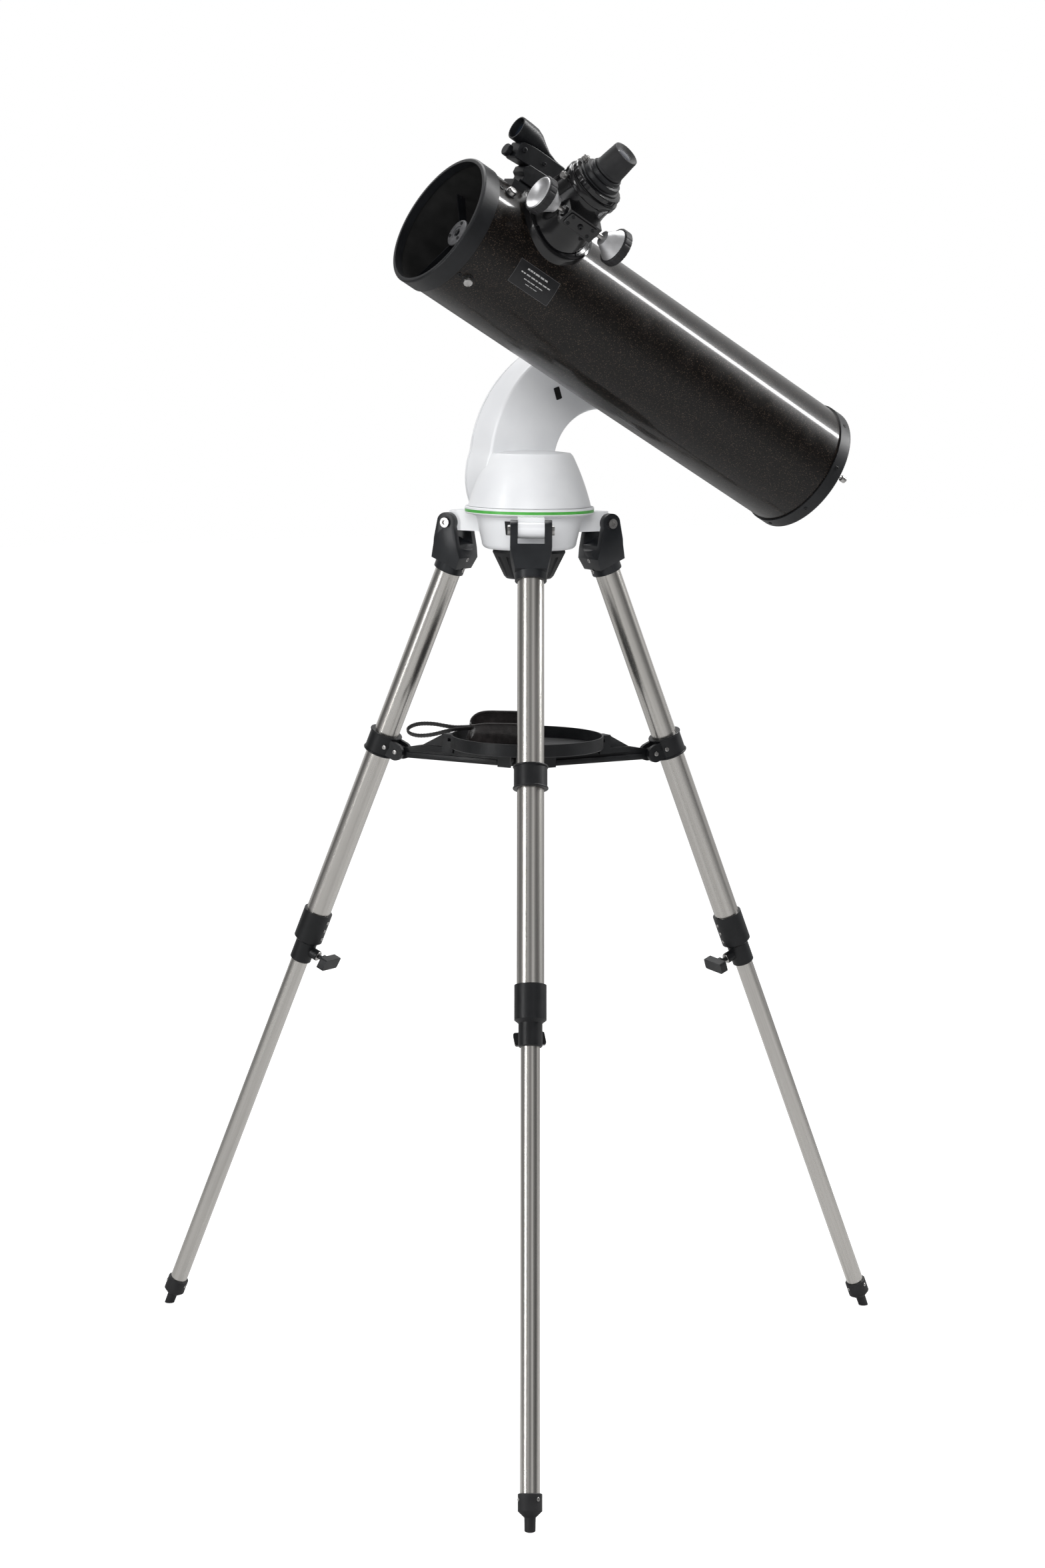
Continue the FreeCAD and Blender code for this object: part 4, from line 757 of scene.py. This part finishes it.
def add_eyepiece():
    barrel = [(0, 157.2), (15.8, 157.2), (15.8, 171.6), (18.3, 171.6), (18.7, 172.2),
              (18.7, 174.2), (18.2, 174.8), (17.9, 176.0), (17.7, 182.0), (17.3, 190.0),
              (16.9, 196.0), (16.8, 200.5), (16.4, 202.4), (15.4, 203.0), (14.2, 202.4),
              (11.6, 199.6), (9.4, 198.8)]
    piece = lathe("eyepiece_body", FOCUS, barrel, "rubber", "eyepiece_body", "black_rubber",
                  count=72, smooth=30)
    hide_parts("eyepiece")
    lens = [(9.6, 198.7), (9.4, 199.0)]
    lens += [(9.4 * math.cos(math.radians(t)), 199.0 + 1.6 * math.sin(math.radians(t)))
             for t in range(15, 90, 15)]
    lathe("eyepiece_lens", FOCUS, lens + [(0, 200.6)], "glass", "eyepiece_body", "black_rubber",
          count=48)


# ---- finder ----------------------------------------------------------------------------------

FINDER = on_tube(80, 92)


def add_finder():
    """A red-dot finder: a boxy body, a hood that sweeps down behind its window, and a bracket."""
    bm = bmesh.new()
    side = [(-35, 111.5), (-35, 129.5), (-32, 132.0), (-18, 134.2), (-8, 134.6), (30, 134.6),
            (32, 132.5), (32, 116.5), (29, 114.6), (-32, 110.0)]
    turned = FINDER @ Matrix.Rotation(math.radians(90), 4, "X")
    prism_into(bm, turned, side, -11.6, 11.6)
    piece = finish_piece("finder_case", bm, "black", "tube_assembly", "black_plastic", bevel=1.1,
                         steps=3)
    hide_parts("finder")
    bm = bmesh.new()
    rows = []
    for x, top, low, half, back in ((-44, 158.3, 129.6, 14.3, 0), (-42.5, 158.6, 129.4, 14.5, 0),
                                    (-30, 158.3, 129.6, 14.3, 0), (-20, 157.4, 130.4, 13.4, 0.1),
                                    (-12, 154.0, 131.4, 12.4, 0.2), (-4, 147.6, 132.4, 11.2, 0.35),
                                    (5, 141.0, 133.0, 10.2, 0.6), (16, 136.8, 133.4, 9.6, 0.8),
                                    (28, 134.8, 133.6, 9.2, 1.0)):
        row = []
        for i in range(40):
            turn = 2 * math.pi * i / 40
            c, s = math.cos(turn), math.sin(turn)
            power = 1 - 0.45 * back
            y = half * math.copysign(abs(c) ** power, c)
            z = (top + low) / 2 + (top - low) / 2 * math.copysign(abs(s) ** power, s)
            row.append(bm.verts.new(FINDER @ (Vector((x, y, z)) * MM)))
        rows.append(row)
    inner = []
    for x, r in ((-44, 12.8), (-43, 12.5), (-24, 11.6)):
        inner.append([bm.verts.new(FINDER @ (Vector((
            x, r * math.cos(2 * math.pi * i / 40), 144 + r * math.sin(2 * math.pi * i / 40))) * MM))
            for i in range(40)])
    skin(bm, list(reversed(inner)) + rows)
    bm.faces.new(inner[-1])
    bm.faces.new(rows[-1])
    finish_piece("finder_hood_shell", bm, "black", "tube_assembly", "black_plastic", smooth=45)
    lathe("finder_glass", along_x(FINDER @ shift(-36, 0, 144), -1),
          [(12.3, -0.6), (12.3, 0), (9, 0.9), (5, 1.4), (0, 1.6)], "glass", "tube_assembly",
          "black_plastic")
    for i, x in enumerate((-27, 4)):
        for end, sign in (("near", 1), ("far", -1)):
            place = along_y(FINDER @ shift(x, sign * 11.6, 124), sign)
            add_screw(f"finder_screw_{i}_{end}", place, 3.2 - 0.8 * i, 1.3, "tube_assembly",
                      "black", "black_plastic")
    knob = along_x(FINDER @ shift(-35, 2, 116), -1)
    lathe("finder_dial", knob, [(3.2, -1), (3.2, 2.2), (6.6, 2.4), (7.4, 3.2), (7.4, 8.2),
                                (6.6, 9.2), (0, 9.2)], "black", "tube_assembly", "black_plastic",
          count=72, wave=lambda i: -0.45 if i % 6 == 0 else 0.0, smooth=28)
    bm = bmesh.new()
    prism_into(bm, turned, [(-12.5, 91.5), (-12.5, 98), (-17, 101), (-17, 108), (-12, 113.4),
                            (14, 114.6), (19, 108), (19, 101), (13.5, 98), (13.5, 91.5)], -12, 12)
    finish_piece("finder_bracket", bm, "black", "tube_assembly", "black_plastic", bevel=0.9)
    for i, x in enumerate((-10, 10)):
        place = along_y(FINDER @ shift(x, 12, 104), 1)
        add_screw(f"bracket_screw_{i}", place, 3.0, 1.6, "tube_assembly", "black", "black_plastic")
    place = along_y(FINDER @ shift(0, 12.6, 94.8), 1)
    add_thumbscrew("shoe_thumbscrew", place, 4.2, 8, "tube_assembly")


# ---- pouch and strap -------------------------------------------------------------------------

POUCH = shift(-12.5, 38, 812.3) @ Matrix.Rotation(math.radians(-31.25), 4, "Z")


def pouch_point(u, v, inner=0.0):
    """The leather at an angle round the pouch and a fraction of the way up, in millimetres.

    The wall away from the legs' middle stands taller and its top is rounded; the near wall is
    lower, creased and drawn in by its hem."""
    c, s = math.cos(u), math.sin(u)
    belly = math.sin(math.pi * min(v * 0.85 + 0.12, 1.0)) ** 0.6
    half = 43 + 2.5 * belly - 1.5 * v
    deep = 11.5 + 4.5 * belly - 2.0 * v
    x = half * math.copysign(abs(c) ** 0.5, c)
    y = deep * math.copysign(abs(s) ** 0.62, s)
    back = max(s, 0.0) ** 0.5
    top = 23.5 + 15.0 * back ** 1.6 * (1 - 0.42 * abs(c) ** 2.6) + 0.8 * math.sin(3 * u + 0.4)
    top -= 2.0 * max(-s, 0) * (0.5 + 0.5 * math.cos(2 * u))
    fold = 1.1 * math.sin(5.3 * u + 3.1 * v + 0.6) + 0.6 * math.sin(11.7 * u - 5.2 * v + 1.9)
    fold += 0.8 * math.sin(2.1 * u + 6.0 * v)
    fold *= math.sin(math.pi * min(v + 0.15, 1.0)) * 0.8
    size = math.hypot(x, y)
    shrink = 1 + (fold - inner) / size
    corner = abs(c) ** 8
    x *= shrink * (1 - 0.03 * corner * math.sin(math.pi * v))
    return Vector((x, y * shrink, 0.5 + v * top))


def add_pouch():
    around = 96
    outside = [0.0, 0.05, 0.14, 0.26, 0.38, 0.5, 0.62, 0.74, 0.85, 0.93, 1.0]
    bm = bmesh.new()
    rows = [[bm.verts.new(POUCH @ (Vector((0, 0, 0.2)) * MM))]]
    for size in (0.35, 0.7, 0.93):
        row = []
        for i in range(around):
            p = pouch_point(2 * math.pi * i / around, 0.0)
            row.append(bm.verts.new(POUCH @ (Vector((p.x * size, p.y * size, 0.2)) * MM)))
        rows.append(row)
    for v in outside:
        rows.append([bm.verts.new(POUCH @ (pouch_point(2 * math.pi * i / around, v) * MM))
                     for i in range(around)])
    for v in (1.0, 0.9, 0.75, 0.6, 0.45):
        rows.append([bm.verts.new(POUCH @ (pouch_point(2 * math.pi * i / around, v, 1.6) * MM))
                     for i in range(around)])
    rows.append([bm.verts.new(POUCH @ (Vector((0, 0, 14.0)) * MM))])
    skin(bm, rows)
    piece = finish_piece("leather_pouch", bm, "leather", "pouch", "pouch_leather", smooth=70,
                         subdivide=1)
    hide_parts("battery_pouch")
    hem = [pouch_point(2 * math.pi * i / 144, 1.0, 0.8) for i in range(144)]
    sweep("pouch_hem", POUCH, hem, 1.15, 1.5, "leather", "pouch", "pouch_leather", closed=True)
    for i, u in enumerate((math.radians(188), math.radians(352))):
        path = [pouch_point(u, 0.04 + 0.94 * k / 14, -0.2) for k in range(15)]
        sweep(f"pouch_seam_{i}", POUCH, path, 0.7, 0.9, "leather", "pouch", "pouch_leather")
    bm = bmesh.new()
    count = 74
    for i in range(count):
        u = 2 * math.pi * (i + 0.5) / count
        a = pouch_point(u - 0.017, 0.9, -0.35)
        b = pouch_point(u + 0.017, 0.9, -0.35)
        stitch_into(bm, POUCH, a, b, 0.32)
    finish_piece("pouch_stitches", bm, "strap", "pouch", "pouch_leather")


def stitch_into(bm, place, a, b, radius):
    """One thread stitch: a small rod that dips into the leather at both ends."""
    direction = (b - a).normalized()
    side = direction.cross(Z).normalized()
    over = side.cross(direction)
    rows = []
    for f, size, dip in ((0.0, 0.35, 0.5), (0.25, 0.95, 0), (0.75, 0.95, 0), (1.0, 0.35, 0.5)):
        middle = a.lerp(b, f)
        outward = Vector((middle.x, middle.y, 0)).normalized()
        rows.append([bm.verts.new(place @ ((middle - outward * dip + (
            side * math.cos(2 * math.pi * k / 6) + over * math.sin(2 * math.pi * k / 6))
            * radius * size) * MM)) for k in range(6)])
    skin(bm, rows)
    bm.faces.new(rows[0])
    bm.faces.new(rows[-1])


def sweep(name, place, path, half_wide, half_high, look, body, slot, closed=False):
    """An oval or flat section carried along a path given in millimetres."""
    bm = bmesh.new()
    rows = []
    count = len(path)
    for i, point in enumerate(path):
        before = path[i - 1] if closed or i else path[0]
        after = path[(i + 1) % count] if closed or i < count - 1 else path[-1]
        ahead = (after - before).normalized()
        side = ahead.cross(Z)
        side = side.normalized() if side.length > 0.05 else Y
        over = side.cross(ahead).normalized()
        row = []
        for k in range(14):
            turn = 2 * math.pi * k / 14
            c, s = math.cos(turn), math.sin(turn)
            offset = (side * half_wide * math.copysign(abs(c) ** 0.5, c)
                      + over * half_high * math.copysign(abs(s) ** 0.5, s))
            row.append(bm.verts.new(place @ ((point + offset) * MM)))
        rows.append(row)
    if closed:
        rows.append(rows[0])
    skin(bm, rows)
    if not closed:
        bm.faces.new(rows[0])
        bm.faces.new(rows[-1])
    return finish_piece(name, bm, look, body, slot, smooth=50)


STRAP = (POUCH @ shift(-48, -10, 20) @ Matrix.Rotation(math.radians(-3.2), 4, "Y")
         @ Matrix.Rotation(math.radians(55), 4, "X"))


def add_strap():
    """A flat wrist strap on its edge, doubled back into a loop that lies over the tray's rim."""
    run = [Vector(p) for p in (
        (7, 0.9, 0.3), (-4, 1.0, 0.1), (-14, 1.7, -0.2), (-26, 4.4, -0.3), (-38, 7.2, 0.1),
        (-50, 8.4, 0.3), (-60, 8.0, 0.2), (-68.5, 5.2, 0), (-72.6, 0.4, 0), (-69, -4.6, -0.2),
        (-60, -7.8, -0.3), (-49, -8.4, 0), (-37, -7.0, 0.3), (-26, -4.3, 0.2), (-14, -1.7, 0),
        (-4, -1.0, 0.1), (7, -0.9, 0.3))]
    smooth = []
    for i in range(len(run) - 1):
        p0, p1 = run[max(i - 1, 0)], run[i]
        p2, p3 = run[i + 1], run[min(i + 2, len(run) - 1)]
        for k in range(6):
            t = k / 6
            smooth.append(0.5 * ((2 * p1) + (p2 - p0) * t + (2 * p0 - 5 * p1 + 4 * p2 - p3) * t ** 2
                                 + (3 * p1 - p0 - 3 * p2 + p3) * t ** 3))
    smooth.append(run[-1])
    piece = sweep("wrist_strap", STRAP, smooth, 1.2, 3.9, "strap", "pouch", "pouch_leather")
    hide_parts("pouch_strap")
    bm = bmesh.new()
    for level in (-2.9, 2.9):
        for a, b in zip(smooth[6:-6:2], smooth[7:-5:2]):
            side = (b - a).cross(Z).normalized()
            for face in (-1.25, 1.25):
                lift = Vector((0, 0, level)) + side * face
                stitch_into(bm, STRAP, a.lerp(b, 0.1) + lift, a.lerp(b, 0.9) + lift, 0.22)
    finish_piece("strap_stitches", bm, "strap", "pouch", "pouch_leather")


add_arm()
add_heel()
add_port()
add_switch_panel()
add_leg_details()
add_tube_details()
add_focuser_details()
add_drawtube_details()
add_focus_knobs()
add_eyepiece()
add_finder()
add_pouch()
add_strap()


# ---- light and floor -------------------------------------------------------------------------

def add_floor():
    bm = bmesh.new()
    half = 14
    corners = [bm.verts.new((x * half, y * half, -0.0005))
               for x, y in ((-1, -1), (1, -1), (1, 1), (-1, 1))]
    bm.faces.new(corners)
    mesh = bpy.data.meshes.new("floor")
    bm.to_mesh(mesh)
    bm.free()
    floor = bpy.data.objects.new("floor", mesh)
    look = material("floor", (0.42, 0.42, 0.42), (0.40, 0.40, 0.40), 0.8, 3)
    nodes, links = look.node_tree.nodes, look.node_tree.links
    seen = nodes.new("ShaderNodeLightPath")
    glow = nodes.new("ShaderNodeMath")
    glow.operation = "MULTIPLY"
    glow.inputs[1].default_value = 0.86
    links.new(seen.outputs["Is Camera Ray"], glow.inputs[0])
    links.new(glow.outputs["Value"], nodes["Principled BSDF"].inputs["Emission Strength"])
    mesh.materials.append(look)
    bpy.context.scene.collection.objects.link(floor)


def add_lamp(name, place, target, size, power, glossy=True):
    data = bpy.data.lights.new(name, "AREA")
    data.shape = "RECTANGLE"
    data.size, data.size_y = size
    data.energy = power
    lamp = bpy.data.objects.new(name, data)
    lamp.location = place
    lamp.rotation_euler = (Vector(target) - Vector(place)).to_track_quat("-Z", "Y").to_euler()
    lamp.visible_glossy = glossy
    bpy.context.scene.collection.objects.link(lamp)


def add_world():
    """A bright room whose walls are darker bands between lit panels, which the steel reflects."""
    world = bpy.data.worlds.new("studio")
    world.use_nodes = True
    nodes, links = world.node_tree.nodes, world.node_tree.links
    background = nodes["Background"]
    place = nodes.new("ShaderNodeTexCoord")
    parts = nodes.new("ShaderNodeSeparateXYZ")
    links.new(place.outputs["Generated"], parts.inputs["Vector"])
    angle = nodes.new("ShaderNodeMath")
    angle.operation = "ARCTAN2"
    links.new(parts.outputs["Y"], angle.inputs[0])
    links.new(parts.outputs["X"], angle.inputs[1])
    turns = nodes.new("ShaderNodeMapRange")
    turns.inputs["From Min"].default_value = -math.pi
    turns.inputs["From Max"].default_value = math.pi
    links.new(angle.outputs["Value"], turns.inputs["Value"])
    ramp = nodes.new("ShaderNodeValToRGB")
    bands = ramp.color_ramp
    bands.elements[0].position, bands.elements[0].color = 0.0, (0.5, 0.5, 0.5, 1)
    bands.elements[1].position, bands.elements[1].color = 1.0, (0.5, 0.5, 0.5, 1)
    for position, level in ((0.03, 0.14), (0.06, 0.14), (0.075, 0.6), (0.095, 0.6), (0.11, 0.25),
                            (0.16, 0.2), (0.20, 0.3), (0.22, 0.7), (0.25, 0.7), (0.27, 0.25),
                            (0.31, 0.15), (0.36, 0.06), (0.40, 0.1), (0.43, 0.5), (0.47, 0.55),
                            (0.50, 0.3), (0.56, 0.6), (0.62, 0.75), (0.66, 0.35), (0.72, 0.8),
                            (0.80, 0.6), (0.85, 0.15), (0.93, 0.12)):
        band = bands.elements.new(position)
        band.color = (level, level, level, 1)
    links.new(turns.outputs["Result"], ramp.inputs["Fac"])
    seen = nodes.new("ShaderNodeLightPath")
    mix = nodes.new("ShaderNodeMix")
    mix.data_type = "RGBA"
    links.new(seen.outputs["Is Camera Ray"], mix.inputs["Factor"])
    links.new(ramp.outputs["Color"], mix.inputs[6])
    mix.inputs[7].default_value = (1.0, 1.0, 1.0, 1)
    links.new(mix.outputs[2], background.inputs["Color"])
    background.inputs["Strength"].default_value = 1.0
    bpy.context.scene.world = world
    bpy.context.scene.view_settings.view_transform = "Standard"


add_world()
add_floor()
add_lamp("line", (2.1, -0.67, 2.7), (0, -0.14, 1.3), (0.24, 2.4), 75)
add_lamp("left", (-3.4, -0.2, 1.7), (0, 0, 0.9), (0.4, 2.6), 34)
add_lamp("fill", (-2.4, -3.6, 2.6), (0, 0, 1.0), (2.0, 2.0), 130, glossy=False)
add_lamp("top", (0.5, 1.6, 4.4), (0, 0, 0.6), (3.0, 2.4), 110)
